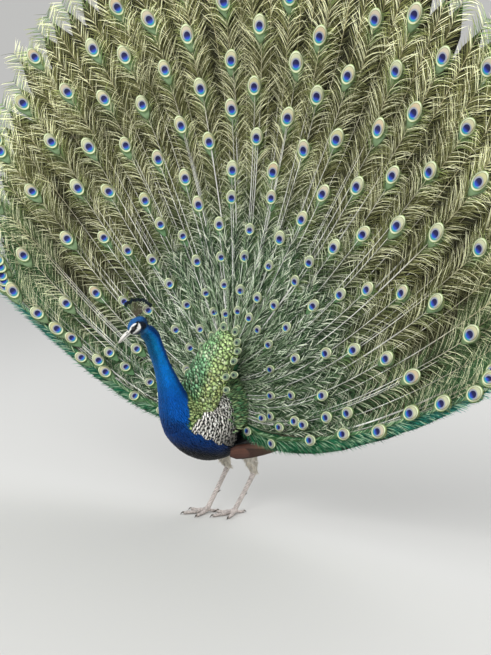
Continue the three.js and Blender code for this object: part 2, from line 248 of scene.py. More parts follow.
def tubes(rings: Array, tips: Array, tint: Array, vane: Array, unwrap: Array) -> Cloud:
    """Join rings into closed tubes, many at once.

    Args:
        rings: points, (count, rows, around, 3).
        tips: the last point of each, (count, 3).
        tint: colours, (count, rows * around + 1, 3) or what spreads to that.
        vane: places on the feather, (count, rows * around + 1, 2) or the like.
        unwrap: OFBake places, (count, rows * around + 1, 2) or the like.

    Returns:
        The tubes as one cloud.
    """
    count, rows, around, _ = rings.shape
    size = rows * around + 1
    points = np.concatenate([rings.reshape(count, rows * around, 3), tips[:, None]], axis=1)
    triangles = closing(rows, around)[None] + (np.arange(count) * size)[:, None, None]
    return Cloud(
        points.reshape(-1, 3),
        triangles.reshape(-1, 3),
        np.broadcast_to(tint, (count, size, 3)).reshape(-1, 3),
        np.broadcast_to(vane, (count, size, 2)).reshape(-1, 2),
        np.broadcast_to(unwrap, (count, size, 2)).reshape(-1, 2),
    )


def blades(
    path: Array, across: Array, out: Array, half: Array, rise: Array, tint: Array, root: Array
) -> Cloud:
    """Thin three-edged blades: path - across * half, path + across * half, path + out * rise.

    Args:
        path: middle line of each, (count, rows + 1, 3), which ends in the tip.
        across: sideways unit vectors, (count, rows, 3) or (count, 1, 3).
        out: outward unit vectors, the same.
        half: half width at each row, (count, rows).
        rise: height of the ridge at each row, (count, rows).
        tint: colours, (count, rows + 1, 3) or (count, 1, 3).
        root: OFBake place of each root, (count, 2).

    Returns:
        The blades, each with its patch of the unwrap.
    """
    count, steps, _ = path.shape
    line, aside = path[:, :-1], across * half[..., None]
    rings = np.stack([line - aside, line + aside, line + out * rise[..., None]], axis=2)
    along = np.repeat(np.linspace(0, 1, steps)[:-1], 3)
    side = np.tile([-1.0, 1.0, 0.0], steps - 1)
    vane = np.vstack([np.stack([side, along], -1), [[0.0, 1.0]]])
    shade = np.broadcast_to(tint, (count, steps, 3))
    shade = np.concatenate([np.repeat(shade[:, :-1], 3, axis=1), shade[:, -1:]], axis=1)
    patch = root[:, None] + PATCH * vane * [0.5, 1.0]
    return tubes(rings, path[:, -1], shade, vane, patch)


def pipes(lines: Array, radii: Array, around: int, tint: Array, reference: Array = UP) -> Cloud:
    """Round closed pipes: line + radius * (cos, sin) square to the line, many at once.

    Args:
        lines: middle lines, (count, rows, 3).
        radii: radius at each row, (count, rows) or the like; the last closes to a point.
        around: points round each ring.
        tint: colours, (count, 1, 3) or (3,).
        reference: a direction that the lines don't follow.

    Returns:
        The pipes; their vane layer holds the turn and the share along.
    """
    count, rows, _ = lines.shape
    course = unit(np.gradient(lines, axis=1))
    side = unit(np.cross(course, reference))
    other = np.cross(course, side)
    turn = 2 * np.pi * np.arange(around) / around
    radii = np.broadcast_to(radii, (count, rows))[:, :, None, None]
    rings = lines[:, :, None] + radii * (
        side[:, :, None] * np.cos(turn)[:, None] + other[:, :, None] * np.sin(turn)[:, None]
    )
    tips = lines[:, -1] + course[:, -1] * radii[:, -1, 0] * 0.6
    along = np.repeat(np.linspace(0, 1, rows), around)
    vane = np.stack([np.tile(np.arange(around) / around, rows), along], -1)
    vane = np.vstack([vane, [[0.0, 1.0]]])
    return tubes(rings, tips, tint, vane, 0.01 + 0.9 * vane)


def loop_of(rings: Array) -> Cloud:
    """A closed ring of sections, joined end to end.

    Args:
        rings: the sections in order, (sections, around, 3).

    Returns:
        The ring, with its faces outwards.
    """
    sections, around, _ = rings.shape
    index = np.arange(sections * around).reshape(sections, around)
    ahead, aside = np.roll(index, -1, 0), np.roll(index, -1, 1)
    both = np.roll(ahead, -1, 1)
    triangles = np.stack([[index, aside, both], [index, both, ahead]])
    triangles = np.moveaxis(triangles, 1, -1).reshape(-1, 3)
    points = rings.reshape(-1, 3)
    corners = points[triangles]
    volume = np.sum(np.cross(corners[:, 0], corners[:, 1]) * corners[:, 2])
    if volume < 0:
        triangles = triangles[:, ::-1]
    flat = np.zeros((len(points), 2))
    return Cloud(points, triangles, np.zeros((len(points), 3)), flat, flat)


# --- materials


@dataclass(frozen=True)
class Finish:
    """How a surface takes the light: constants of the shader's own sockets."""

    name: str
    roughness: float = 0.5
    metallic: float = 0.0
    sheen: float = 0.0
    coat: float = 0.0
    specular: float = 0.5


class Painter:
    """Writes one material as calls: each returns the socket that the next one reads."""

    def __init__(self, finish: Finish) -> None:
        """Start an empty tree with its shader."""
        self.material = bpy.data.materials.new(finish.name)
        self.material.use_nodes = True
        self.tree = self.material.node_tree
        self.shader = self.tree.nodes["Principled BSDF"]
        for socket, value in (
            ("Roughness", finish.roughness), ("Metallic", finish.metallic),
            ("Sheen Weight", finish.sheen), ("Coat Weight", finish.coat),
            ("Specular IOR Level", finish.specular),
        ):
            self.set(socket, value)

    def set(self, socket: str, value: float) -> None:
        """Write a constant on the shader's own socket."""
        self.shader.inputs[socket].default_value = value

    def node(self, kind: str, inputs: dict, **settings: object) -> bpy.types.Node:
        """Add a node, set it and feed its inputs with sockets or numbers."""
        node = self.tree.nodes.new(f"ShaderNode{kind}")
        for key, value in settings.items():
            setattr(node, key, value)
        for key, value in inputs.items():
            self.feed(node.inputs[key], value)
        return node

    def feed(self, socket: Socket, value: object) -> None:
        """Link a socket, or write a number or colour on it."""
        if isinstance(value, Socket):
            self.tree.links.new(value, socket)
        elif isinstance(value, (tuple, list, np.ndarray)):
            numbers = [float(part) for part in value]
            wide = len(socket.default_value)
            socket.default_value = (numbers + [1.0])[:wide]
        else:
            socket.default_value = value

    def tint(self) -> Socket:
        """The mesh's own colours."""
        return self.node("Attribute", {}, attribute_name="Tint").outputs["Color"]

    def split(self, vector: Socket) -> Sequence[Socket]:
        """The x, y and z of a vector."""
        return self.node("SeparateXYZ", {"Vector": vector}).outputs

    def vane(self) -> tuple[Socket, Socket, Socket]:
        """The place on a feather: across, its size whatever the side, and along."""
        place = self.node("Attribute", {}, attribute_name="Vane").outputs["Vector"]
        across, along, _ = self.split(place)
        return across, self.sum("ABSOLUTE", across), along

    def sum(self, operation: str, *values: object) -> Socket:
        """A sum of one kind on one, two or three values."""
        return self.node("Math", dict(enumerate(values)), operation=operation).outputs[0]

    def line(self, value: object, slope: object, start: object) -> Socket:
        """value * slope + start."""
        return self.sum("MULTIPLY_ADD", value, slope, start)

    def stripes(self, value: object, count: float) -> Socket:
        """Waves from -1 to 1: sin(value * count)."""
        return self.sum("SINE", self.sum("MULTIPLY", value, count))

    def barbs(self, along: object, wide: object, count: float) -> Socket:
        """Waves that slant to both sides of a shaft: sin((along - wide) * count)."""
        return self.stripes(self.sum("SUBTRACT", along, wide), count)

    def noise(self, vector: object, scale: float, detail: float = 2.0) -> Socket:
        """Soft noise from 0 to 1 of a place."""
        inputs = {"Vector": vector, "Scale": scale, "Detail": detail}
        return self.node("TexNoise", inputs).outputs["Fac"]

    def place(self) -> Socket:
        """Where on the object a point is."""
        return self.node("TexCoord", {}).outputs["Object"]

    def between(self, value: object, low: float, high: float) -> Socket:
        """Smooth step of a value from 0 at low to 1 at high."""
        inputs = {"Value": value, "From Min": low, "From Max": high}
        return self.node("MapRange", inputs, interpolation_type="SMOOTHSTEP").outputs["Result"]

    def blend(self, share: object, first: object, second: object) -> Socket:
        """Mix two colours: first + (second - first) * share."""
        inputs = {"Factor": share, 6: first, 7: second}
        return self.node("Mix", inputs, data_type="RGBA").outputs[2]

    def shaded(self, colour: object, light: object) -> Socket:
        """A colour times a number."""
        grey = self.node("CombineXYZ", {0: light, 1: light, 2: light}).outputs[0]
        return self.node("VectorMath", {0: colour, 1: grey}, operation="MULTIPLY").outputs[0]

    def tinted(self, light: object, bump: object = None, depth: float = 0.0) -> Material:
        """Finish with the mesh's own colours times a light, and a height as in finish."""
        return self.finish(self.shaded(self.tint(), light), bump, depth)

    def finish(self, colour: object, bump: object = None, depth: float = 0.0) -> Material:
        """Feed the shader's colour, and its normal from a height.

        Args:
            colour: a colour or its socket.
            bump: the height's socket, if any.
            depth: how deep the height goes, in metres.

        Returns:
            The finished material.
        """
        self.feed(self.shader.inputs["Base Color"], colour)
        if bump is not None:
            node = self.node("Bump", {"Height": bump, "Distance": depth, "Strength": 1.0})
            self.feed(self.shader.inputs["Normal"], node.outputs["Normal"])
        return self.material


def feathered(finish: Finish, streak: float, edge: float = 0.0) -> Material:
    """A small feather: its tint, uneven from place to place, streaked along its barbs.

    Args:
        finish: how it takes the light.
        streak: how strong the barbs show.
        edge: how much darker its edges are.

    Returns:
        The material.
    """
    paint = Painter(finish)
    _, wide, along = paint.vane()
    barbs = paint.barbs(along, wide, 46.0)
    patchy = paint.line(paint.noise(paint.place(), 55.0), 0.5, 0.75)
    light = paint.sum("MULTIPLY", paint.line(barbs, streak * 0.5, 1.0), patchy)
    rim = paint.between(paint.sum("MAXIMUM", wide, along), 0.72, 1.0)
    light = paint.sum("MULTIPLY", light, paint.line(rim, -edge, 1.0))
    return paint.tinted(light, barbs, 0.00008)


# --- the bird's pose


def middle_of(*nodes: str) -> Array:
    """The middle of the box round some solids."""
    corners = np.array([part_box(node) for node in nodes])
    return (corners[:, 0].min(0) + corners[:, 1].max(0)) / 2


@dataclass(frozen=True)
class Stance:
    """Where the bird stands, and the frames of its body and head."""

    body_yaw: float = 15
    head_yaw: float = 42
    head_pitch: float = 38
    head_reach: float = 0.301
    head_height: float = 0.642
    eyes: tuple = (0.0, -0.012, 0.0035)  # the middle between the eyes, in the head's frame

    def along(self, reach: Array, side: Array, height: Array) -> Array:
        """Body frame to directions: reach forward, side to the left, height up."""
        cosine = math.cos(math.radians(self.body_yaw))
        sine = math.sin(math.radians(self.body_yaw))
        reach, side, height = np.broadcast_arrays(reach, side, height)
        return np.stack([side * cosine - reach * sine, -reach * cosine - side * sine, height], -1)

    def head_turn(self) -> Array:
        """The matrix of the head's frame: bill towards -Y, turned and bowed."""
        return turned(-self.head_yaw, 2) @ turned(self.head_pitch, 0)

    def standing(self) -> Array:
        """The standing point: the eyes' middle less their place from that point."""
        from_feet = self.along(self.head_reach, 0, self.head_height) + self.head_turn() @ self.eyes
        point = middle_of("eye_left", "eye_right") - from_feet
        point[2] = 0
        return point

    def body(self, reach: Array, side: Array, height: Array) -> Array:
        """Points given in the body's frame."""
        return STANDING + self.along(reach, side, height)

    def locate(self, points: Array) -> tuple[Array, Array, Array]:
        """Reach, side and height of points."""
        rest = points - STANDING
        ahead, left = self.along(1, 0, 0), self.along(0, 1, 0)
        return rest @ ahead, rest @ left, rest[..., 2]

    def head(self, local: Array) -> Array:
        """Points given in the head's frame."""
        return self.body(self.head_reach, 0, self.head_height) + local @ self.head_turn().T

    def in_head(self, points: Array) -> Array:
        """Points, in the head's frame."""
        return (points - self.body(self.head_reach, 0, self.head_height)) @ self.head_turn()


POSE = Stance()
STANDING = POSE.standing()


class Form:
    """A closed surface of two parameters, from 0 to 1 along it and round it."""

    def point(self, along: Array, around: Array, grow: float = 0.0) -> Array:
        """Points of the surface, moved outwards by a distance."""
        raise NotImplementedError

    def basis(self, along: Array, around: Array, grow: float) -> tuple[Array, Array, Array]:
        """Point, outward normal and unit direction of growing along, by small differences."""
        step = STEP
        here = self.point(along, around, grow)
        ahead = self.point(along + step, around, grow) - self.point(along - step, around, grow)
        aside = self.point(along, around + step, grow) - self.point(along, around - step, grow)
        normal = unit(np.cross(ahead, aside))
        rising = self.point(along, around, grow + step) - here
        facing = np.sign(np.sum(normal * rising, -1, keepdims=True))
        return here, normal * np.where(facing == 0, 1, facing), unit(ahead)

    def shell(self, start: float, end: float, rows: int, around: int, grow: float) -> Cloud:
        """The surface as one closed tube between two places along it."""
        along = np.linspace(start, end, rows)[:, None]
        turn = np.arange(around)[None] / around
        rings = self.point(along, turn, grow)
        middle = rings.mean(1)
        spin = np.cross(rings[0, around // 4] - middle[0], rings[0, around // 2] - middle[0])
        if spin @ (middle[1] - middle[0]) < 0:
            rings = rings[:, ::-1]
        tips = rings[-1:].mean(1)
        return tubes(rings[None], tips, BLACK, np.zeros(2), np.zeros(2))

    def scatter(
        self, spacing: Callable[[Array], Array], start: float, end: float, rng: np.random.Generator
    ) -> tuple[Array, Array]:
        """Places in staggered rows, as feathers stand: each row half a step on from the last.

        Args:
            spacing: distance between roots for a place along the surface.
            start: where the first row is.
            end: where the last row is.
            rng: for the small unevenness.

        Returns:
            The places along and round the surface.
        """
        fine = np.linspace(start, end, 240)
        rings = self.point(fine[:, None], np.linspace(0, 1, 41)[None])
        girth = np.linalg.norm(np.diff(rings, axis=1), axis=-1).sum(1)
        stride = np.linalg.norm(np.diff(rings, axis=0), axis=-1).mean(1)
        size = spacing(fine)
        travel = np.concatenate([[0], np.cumsum(stride / ((size[1:] + size[:-1]) / 2))])
        rows = np.interp(np.arange(0.5, travel[-1], 1.0), travel, fine)
        counts = np.maximum(3, np.round(np.interp(rows, fine, girth / size))).astype(int)
        row = np.repeat(np.arange(len(rows)), counts)
        place = np.arange(counts.sum()) - np.repeat(np.cumsum(counts) - counts, counts)
        wobble = rng.uniform(-0.16, 0.16, (2, len(row)))
        around = (place + 0.5 * (row % 2) + wobble[0]) / counts[row]
        pace = np.gradient(rows)[row] if len(rows) > 1 else 0.0
        return rows[row] + pace * wobble[1], around % 1.0


@dataclass
class Trunk(Form):
    """Body and neck from the rump to the head: an ellipse on each rib."""

    # reach and height of the under or front edge, the same of the back, half width
    ribs: tuple = (
        (-0.128, 0.322, -0.122, 0.366, 0.018),
        (-0.122, 0.280, -0.114, 0.398, 0.038),
        (-0.092, 0.230, -0.092, 0.420, 0.054),
        (-0.050, 0.196, -0.062, 0.432, 0.069),
        (0.005, 0.184, -0.026, 0.436, 0.086),
        (0.070, 0.191, 0.012, 0.436, 0.095),
        (0.134, 0.223, 0.050, 0.428, 0.092),
        (0.188, 0.280, 0.082, 0.414, 0.076),
        (0.212, 0.343, 0.106, 0.404, 0.058),
        (0.220, 0.408, 0.124, 0.416, 0.043),
        (0.226, 0.460, 0.159, 0.468, 0.0345),
        (0.238, 0.508, 0.187, 0.520, 0.028),
        (0.257, 0.552, 0.208, 0.572, 0.024),
        (0.272, 0.590, 0.231, 0.622, 0.022),
        (0.294, 0.616, 0.262, 0.650, 0.020),
    )

    def __post_init__(self) -> None:
        """Draw the edges through the ribs."""
        ribs = np.array(self.ribs)
        self.under = Spline(ribs[:, [0, 1, 4]])
        self.upper = Spline(ribs[:, [2, 3, 4]])

    def point(self, along: Array, around: Array, grow: float = 0.0) -> Array:
        """Middle of the rib + cos(turn) towards its under edge + sin(turn) to the left."""
        along, around = np.broadcast_arrays(along, around)
        under, upper = self.under.at(along), self.upper.at(along)
        turn = 2 * np.pi * around
        middle, arm = (under + upper) / 2, (under - upper) / 2
        deep = np.hypot(arm[..., 0], arm[..., 1])
        down = np.cos(turn) * (1 + grow / deep)
        return POSE.body(
            middle[..., 0] + down * arm[..., 0],
            np.sin(turn) * (under[..., 2] + grow),
            middle[..., 1] + down * arm[..., 1],
        )

    def holds(self, points: Array, start: float, end: float, grow: float = 0.0) -> Array:
        """Whether points lie inside a length of the body: inside the nearest rib's ellipse."""
        along = np.linspace(start, end, 60)
        under, upper = self.under.at(along), self.upper.at(along)
        reach, side, height = POSE.locate(points)
        middle, arm = (under + upper)[:, :2] / 2, (under - upper)[:, :2] / 2
        deep = np.hypot(arm[:, 0], arm[:, 1])
        down = arm / deep[:, None]
        ahead = np.stack([-down[:, 1], down[:, 0]], -1)
        rest = np.stack([reach, height], -1)[:, None] - middle
        off = np.sum(rest * ahead, -1)
        deepness = np.sum(rest * down, -1) / (deep + grow)
        sideness = side[:, None] / (under[:, 2] + grow)
        inside = (deepness**2 + sideness**2 < 1) & (np.abs(off) < 0.006)
        return inside.any(1)


@dataclass
class Skull(Form):
    """The head: an egg that narrows towards the bill, along its own Y axis."""

    half: tuple = (0.0195, 0.035, 0.025)
    taper: float = 0.34

    def point(self, along: Array, around: Array, grow: float = 0.0) -> Array:
        """x = a sin t sin u, y = -b cos u, z = c cos t sin u, less the taper at the face.

        Args:
            along: from the bill to the nape, 0 to 1.
            around: round the head, 0 to 1.
            grow: how far outwards.

        Returns:
            The points.
        """
        along, around = np.broadcast_arrays(along, around)
        pole, turn = np.pi * along, 2 * np.pi * around
        width, length, height = (half + grow for half in self.half)
        face = np.clip(np.cos(pole), 0, 1)
        narrow = 1 - self.taper * face**2
        local = np.stack(
            [
                np.sin(turn) * np.sin(pole) * width * narrow,
                -np.cos(pole) * length,
                -np.cos(turn) * np.sin(pole) * height * narrow,
            ],
            -1,
        )
        return POSE.head(local)

    def holds(self, points: Array, grow: float = 0.0) -> Array:
        """Whether points lie inside the egg."""
        local = POSE.in_head(points)
        width, length, height = (half + grow for half in self.half)
        face = np.clip(-local[:, 1] / length, 0, 1)
        narrow = 1 - self.taper * face**2
        size = np.stack([width * narrow, np.full(len(local), length), height * narrow], -1)
        return np.sum((local / size) ** 2, -1) < 1


@dataclass
class Back(Form):
    """The saddle: the scaled back, which climbs from the shoulders into the fan."""

    ribs: tuple = (  # reach, height, offset to the left, half width, half depth
        (0.092, 0.338, 0.000, 0.088, 0.034),
        (0.082, 0.388, 0.007, 0.094, 0.042),
        (0.064, 0.438, 0.015, 0.091, 0.048),
        (0.038, 0.488, 0.020, 0.084, 0.050),
        (0.006, 0.536, 0.020, 0.073, 0.046),
        (-0.022, 0.573, 0.016, 0.054, 0.034),
        (-0.034, 0.589, 0.012, 0.028, 0.016),
    )

    def __post_init__(self) -> None:
        """Draw the middle line and the sizes through the ribs."""
        ribs = np.array(self.ribs)
        flat = np.zeros((len(ribs), 1))
        self.line = Spline(ribs[:, :3])
        self.sizes = Spline(np.hstack([ribs[:, 3:], flat]))

    def point(self, along: Array, around: Array, grow: float = 0.0) -> Array:
        """Middle + cos(turn) towards the front face + sin(turn) to the left."""
        along, around = np.broadcast_arrays(along, around)
        middle, size = self.line.at(along), self.sizes.at(along)
        course = unit(self.line.at(along + 1e-3) - self.line.at(along - 1e-3))
        turn = 2 * np.pi * around
        deep = np.cos(turn) * (size[..., 1] + grow)
        return POSE.body(
            middle[..., 0] + course[..., 1] * deep,
            middle[..., 2] + np.sin(turn) * (size[..., 0] + grow),
            middle[..., 1] - course[..., 0] * deep,
        )


@dataclass
class Wing(Form):
    """A wing's pad of coverts: a lens that lies on one flank."""

    body: Trunk
    side: int  # 1 left, -1 right
    place: float = 0.385  # of its middle along the trunk
    half_place: float = 0.125
    angle: float = 95  # of its middle round the trunk, degrees from below
    half_angle: float = 46
    rake: float = 0.015  # how far its top lies ahead
    clear: float = 0.0025  # from the trunk
    edge: float = 0.003  # thickness at its edge
    bulge: float = 0.009  # and how much more in the middle

    def lens(self, ahead: Array, up: Array, grow: float = 0.0) -> Array:
        """Points by their place on the pad's disc, from -1 to 1 forwards and upwards."""
        height = self.edge + self.bulge * np.sqrt(np.clip(1 - ahead**2 - up**2, 0, 1))
        along = self.place + ahead * self.half_place + up * self.rake
        turn = self.side * (self.angle + up * self.half_angle) / 360
        return self.body.point(along, turn, self.clear + height + grow)

    def point(self, along: Array, around: Array, grow: float = 0.0) -> Array:
        """The disc swept from its front edge backwards: ahead = 1 - 2 along."""
        along, around = np.broadcast_arrays(along, around)
        return self.lens(1 - 2 * along, 2 * around - 1, grow)


@dataclass
class Thigh(Form):
    """A feathered thigh: a cone along a bent line from the flank to the ankle."""

    ankle: tuple
    hip: tuple
    bottom: float = 0.014
    top: float = 0.044
    height: float = 0.262
    bend: float = 0.005
    overlap: float = 0.004

    def __post_init__(self) -> None:
        """Draw the line through hip, middle and ankle."""
        end = np.array(self.ankle) + [0, 0, self.overlap]
        start = np.array([*self.hip, self.height])
        middle = start + (end - start) * 0.55 + [0, self.bend, 0]
        self.line = Spline(np.array([start, middle, end]))

    def point(self, along: Array, around: Array, grow: float = 0.0) -> Array:
        """Line + radius * (cos turn, sin turn) square to the line."""
        along, around = np.broadcast_arrays(along, around)
        middle = self.line.at(along)
        course = unit(self.line.at(along + 1e-3) - self.line.at(along - 1e-3))
        left = unit(np.cross(course, np.array([0.0, 1.0, 0.0])))
        front = np.cross(left, course)
        size = self.top + (self.bottom - self.top) * np.sin(along * np.pi / 2) + grow
        size = size * (1 - 0.34 * ramp(along, 0.70, 1.0))
        turn = 2 * np.pi * around
        arm = left * np.cos(turn)[..., None] + front * np.sin(turn)[..., None]
        return STANDING + middle + arm * size[..., None]


BODY = Trunk()
SKULL = Skull()
SADDLE = Back()


# --- markings and plumage


def near_line(spots: Array, line: Array) -> tuple[Array, Array]:
    """Distance of flat places from a line of straight stretches, and where along it.

    Args:
        spots: flat places, (count, 2).
        line: the line's corners, (corners, 2).

    Returns:
        The distances, and the nearest places from 0 to 1.
    """
    start, course = line[:-1], line[1:] - line[:-1]
    rest = spots[:, None] - start[None]
    share = np.clip(np.sum(rest * course, -1) / np.sum(course**2, -1), 0, 1)
    away = np.linalg.norm(rest - share[..., None] * course, axis=-1)
    best = away.argmin(1)
    pick = np.arange(len(spots)), best
    return away[pick], (best + share[pick]) / len(course)


@dataclass(frozen=True)
class Markings:
    """The bird's colours by place, which its skin and its feathers share, with painted light on the
    neck.
    """

    azure: str = "#0a8df2"
    teal: str = "#0b8cba"
    # teal is painted: the highlight along the neck's upper front
    throat_shadow: str = "#0c4161"
    # the throat's colour is painted shadow along the neck's front edge
    cobalt: str = "#066ad0"
    violet: str = "#083a92"
    navy: str = "#0b3a7a"
    soot: str = "#0b1218"
    rump: str = "#3a3328"
    down: str = "#c9c0b0"
    crown: str = "#2878c4"
    nape: str = "#103f70"
    mask: str = "#060a10"
    skin: str = "#f8f7f3"
    moss: str = "#3f6a3c"
    # white strokes over and under the mask, in the head's frame: back and up, mm
    brow: tuple = ((-29, 2.6), (-22, 6.6), (-13, 10.6), (-4, 11.2), (3, 9.6))
    cheek: tuple = ((-24, -8.5), (-16, -11.0), (-7, -10.6), (1, -6.8), (6.5, -0.8), (9.5, 6.5))

    def neck_place(self, points: Array) -> tuple[Array, Array]:
        """Height, and 1 at the neck's front edge to -1 at its back."""
        reach, _, height = POSE.locate(points)
        along = np.linspace(0.42, 1, 40)
        under, upper = BODY.under.at(along), BODY.upper.at(along)
        middle = (under + upper) / 2
        half = np.hypot(*(under - upper)[:, :2].T) / 2
        order = np.argsort(middle[:, 1])
        level = middle[order, 1]
        ahead = reach - np.interp(height, level, middle[order, 0])
        return height, ahead / np.interp(height, level, half[order])

    def shoulder(self, height: Array) -> Array:
        """How far forward the saddle's scales reach over the shoulders at a height."""
        levels = (0.32, 0.39, 0.44, 0.49, 0.54, 0.60)
        return np.interp(height, levels, (0.160, 0.150, 0.128, 0.102, 0.066, 0.02))

    def body(self, points: Array) -> Array:
        """Colours of the neck, breast, belly and rump.

        Each colour in turn covers the last by a share that is a product of smooth steps.
        The teal is a painted highlight along the neck's upper front, and the throat's colour
        is painted shadow along its front edge.

        Args:
            points: places on or near the skin.

        Returns:
            A colour for each.
        """
        height, ahead = self.neck_place(points)
        reach, _, _ = POSE.locate(points)
        # The painted shadow along the neck's front edge, darker and wider towards the head.
        throat_shadow = ramp(height, 0.46, 0.60)
        return washed(
            self.cobalt,
            (self.azure, ramp(height, 0.40, 0.50)),
            # teal over the upper front of the neck: a painted highlight, the sheen that shows there
            (self.teal, 0.7 * ramp(ahead, -0.3, 0.3) * ramp(height, 0.50, 0.58)),
            (self.violet, 0.9 * ramp(ahead, -0.05, -0.65) * ramp(height, 0.36, 0.42)),
            (self.throat_shadow, (0.50 + 0.3 * throat_shadow) * ramp(ahead + 0.2 * throat_shadow, 0.50, 1.0)),
            (self.navy, ramp(height - 0.045 * ramp(ahead, 0.2, 0.95), 0.340, 0.250)),
            (self.nape, 0.55 * ramp(height, 0.585, 0.64)),
            (self.soot, ramp(height - 0.25 * (reach - 0.12), 0.272, 0.222)),
            (self.moss, ramp(reach - self.shoulder(height), 0.004, -0.006) * ramp(height, 0.305, 0.32)),
            (self.soot, ramp(reach, 0.06, -0.03) * ramp(height, 0.34, 0.30)),
            (self.rump, ramp(reach, -0.03, -0.10)),
        )

    def stroke(self, spots: Array, line: tuple, thin: float, thick: float) -> Array:
        """How much of a stroke along a line covers places: half width thin + thick sin ** 0.7."""
        away, place = near_line(spots, np.array(line))
        wide = thin + thick * np.sin(np.pi * np.clip(place, 0, 1)) ** 0.7
        return ramp(away - wide, 0.5, -0.3)

    def head(self, local: Array) -> Array:
        """Colours of the head in its own frame: a blue crown, white round a black mask.

        Args:
            local: places in the head's frame.

        Returns:
            A colour for each.
        """
        across, back, up = local.T * 1000
        side = ramp(np.abs(across), 3.0, 6.0)
        spots = np.stack([back, up], -1)
        dark = near_line(spots, np.array([(-30, -3), (-20, 0.5), (-12, 2.5), (2, 4), (12, 4)]))[0]
        ear = np.linalg.norm((spots - [14.0, -8.0]) / [11.0, 15.0], axis=1)
        return washed(
            self.crown,
            (self.nape, ramp(back, 4, 30) * ramp(up, 16, -2)),
            (self.nape, 0.8 * ramp(up, 2.0, -9.0)),
            (self.mask, side * ramp(dark, 10.5, 8.6) * ramp(back, 17, 10)),
            (self.mask, ramp(back, -25, -30)),
            (self.skin, side * self.stroke(spots, self.brow, 1.5, 2.2)),
            (self.mask, 0.9 * side * ramp(ear, 1.15, 0.85)),
            (self.skin, side * self.stroke(spots, self.cheek, 1.0, 5.0)),
            (self.mask, 0.8 * ramp(up, -10.5, -14.0) * ramp(back, 10, -6)),
        )

    def bare(self, local: Array) -> Array:
        """How bare the white skin of the face is, from 0 to 1."""
        return ramp(self.head(local).min(-1), 0.35, 0.6)

    def colour(self, points: Array) -> Array:
        """Colours of any place on the skin."""
        local = POSE.in_head(points)
        head = ramp(np.linalg.norm(local / SKULL.half, axis=-1), 1.5, 1.05)
        head = head * ramp(local[:, 2], -0.026, -0.016)
        return mix(self.body(points), self.head(local), head)


MARKS = Markings()


@dataclass(frozen=True)
class Vane:
    """One kind of small feather: its size, how it stands off and its outline."""

    length: float
    half: float
    sink: float = -0.0035  # how deep its root lies under the form's surface
    stand: float = 0.0006  # how high its tip stands over it
    outline: tuple = (0.5, 0.95, 1.0, 0.62)
    ridge: float = 0.3
    splay: float = 5.0  # unevenness of its direction, degrees

    def lay(
        self, form: Form, along: Array, around: Array, backwards: bool, rng: np.random.Generator,
        size: Array | float = 1.0, tint: Array | None = None, twist: Array | float = 0.0,
    ) -> Cloud:
        """Lay feathers on a form: root + lie * length * t + normal * (sink to stand).

        Args:
            form: the surface they lie on.
            along: where each root is along it.
            around: where each root is round it.
            backwards: whether they point against the form's own direction.
            rng: for the small unevenness.
            size: a factor for each feather.
            tint: a colour for each, or the body's markings if there are none.
            twist: degrees that each is turned round its normal.

        Returns:
            The feathers.
        """
        count = len(along)
        point, normal, course = form.basis(along, around, 0.0)
        lie = unit(course - normal * np.sum(course * normal, -1, keepdims=True))
        lie = -lie if backwards else lie
        turn = np.radians(rng.normal(0, self.splay, count) + twist)[:, None]
        lie = lie * np.cos(turn) + np.cross(normal, lie) * np.sin(turn)
        size = (np.broadcast_to(size, count) * np.exp(rng.normal(0, 0.07, count)))[:, None]
        share = np.append(np.linspace(0, 0.86, len(self.outline)), 1.0)
        lift = self.sink + (self.stand - self.sink) * share**0.8
        lift = lift + rng.uniform(-0.2, 0.25, count)[:, None] * 0.001 * share
        path = point[:, None] + normal[:, None] * lift[..., None]
        path = path + lie[:, None] * (self.length * size * share)[..., None]
        half = self.half * size * np.array(self.outline)
        rise = np.maximum(self.ridge * half, 0.0002)
        if tint is None:
            tint = MARKS.colour(point + lie * self.length * 0.6)
        tint = tint * np.exp(rng.normal(0, 0.10, count))[:, None]
        patch = PATCH + 0.99 * np.stack([around, along], -1)
        side = np.cross(normal, lie)
        return blades(path, side[:, None], normal[:, None], half, rise, tint[:, None], patch)


def melted(cloud: Cloud, size: float, rounds: int) -> tuple[Array, Array]:
    """One closed skin round overlapping closed shells, smoothed.

    The shells are sampled on a grid of cubes; then each round moves every point half way
    to the mean of its neighbours, and back by a little more, so that it doesn't shrink.

    Args:
        cloud: the shells.
        size: the side of the cubes.
        rounds: how often it is smoothed.

    Returns:
        Points and triangles.
    """
    mesh = bpy.data.meshes.new("shells")
    mesh.from_pydata(cloud.points.tolist(), [], cloud.triangles.tolist())
    shells = bpy.data.objects.new("shells", mesh)
    bpy.context.scene.collection.objects.link(shells)
    grid = shells.modifiers.new("grid", "REMESH")
    grid.mode = "VOXEL"
    grid.voxel_size = size
    skin = shells.evaluated_get(bpy.context.evaluated_depsgraph_get()).to_mesh()
    skin.calc_loop_triangles()
    points = np.empty(3 * len(skin.vertices))
    edges = np.empty(2 * len(skin.edges), dtype=np.int32)
    triangles = np.empty(3 * len(skin.loop_triangles), dtype=np.int32)
    skin.vertices.foreach_get("co", points)
    skin.edges.foreach_get("vertices", edges)
    skin.loop_triangles.foreach_get("vertices", triangles)
    bpy.data.objects.remove(shells)
    bpy.data.meshes.remove(mesh)
    points = points.reshape(-1, 3)
    ends = edges.reshape(-1, 2).T
    start, other = np.hstack([ends, ends[::-1]])
    count = np.maximum(np.bincount(start, minlength=len(points)), 1)[:, None]
    for pull in (0.5, -0.53) * rounds:
        total = [np.bincount(start, points[other, axis], len(points)) for axis in range(3)]
        points = points + pull * (np.stack(total, -1) / count - points)
    return points, triangles.reshape(-1, 3)


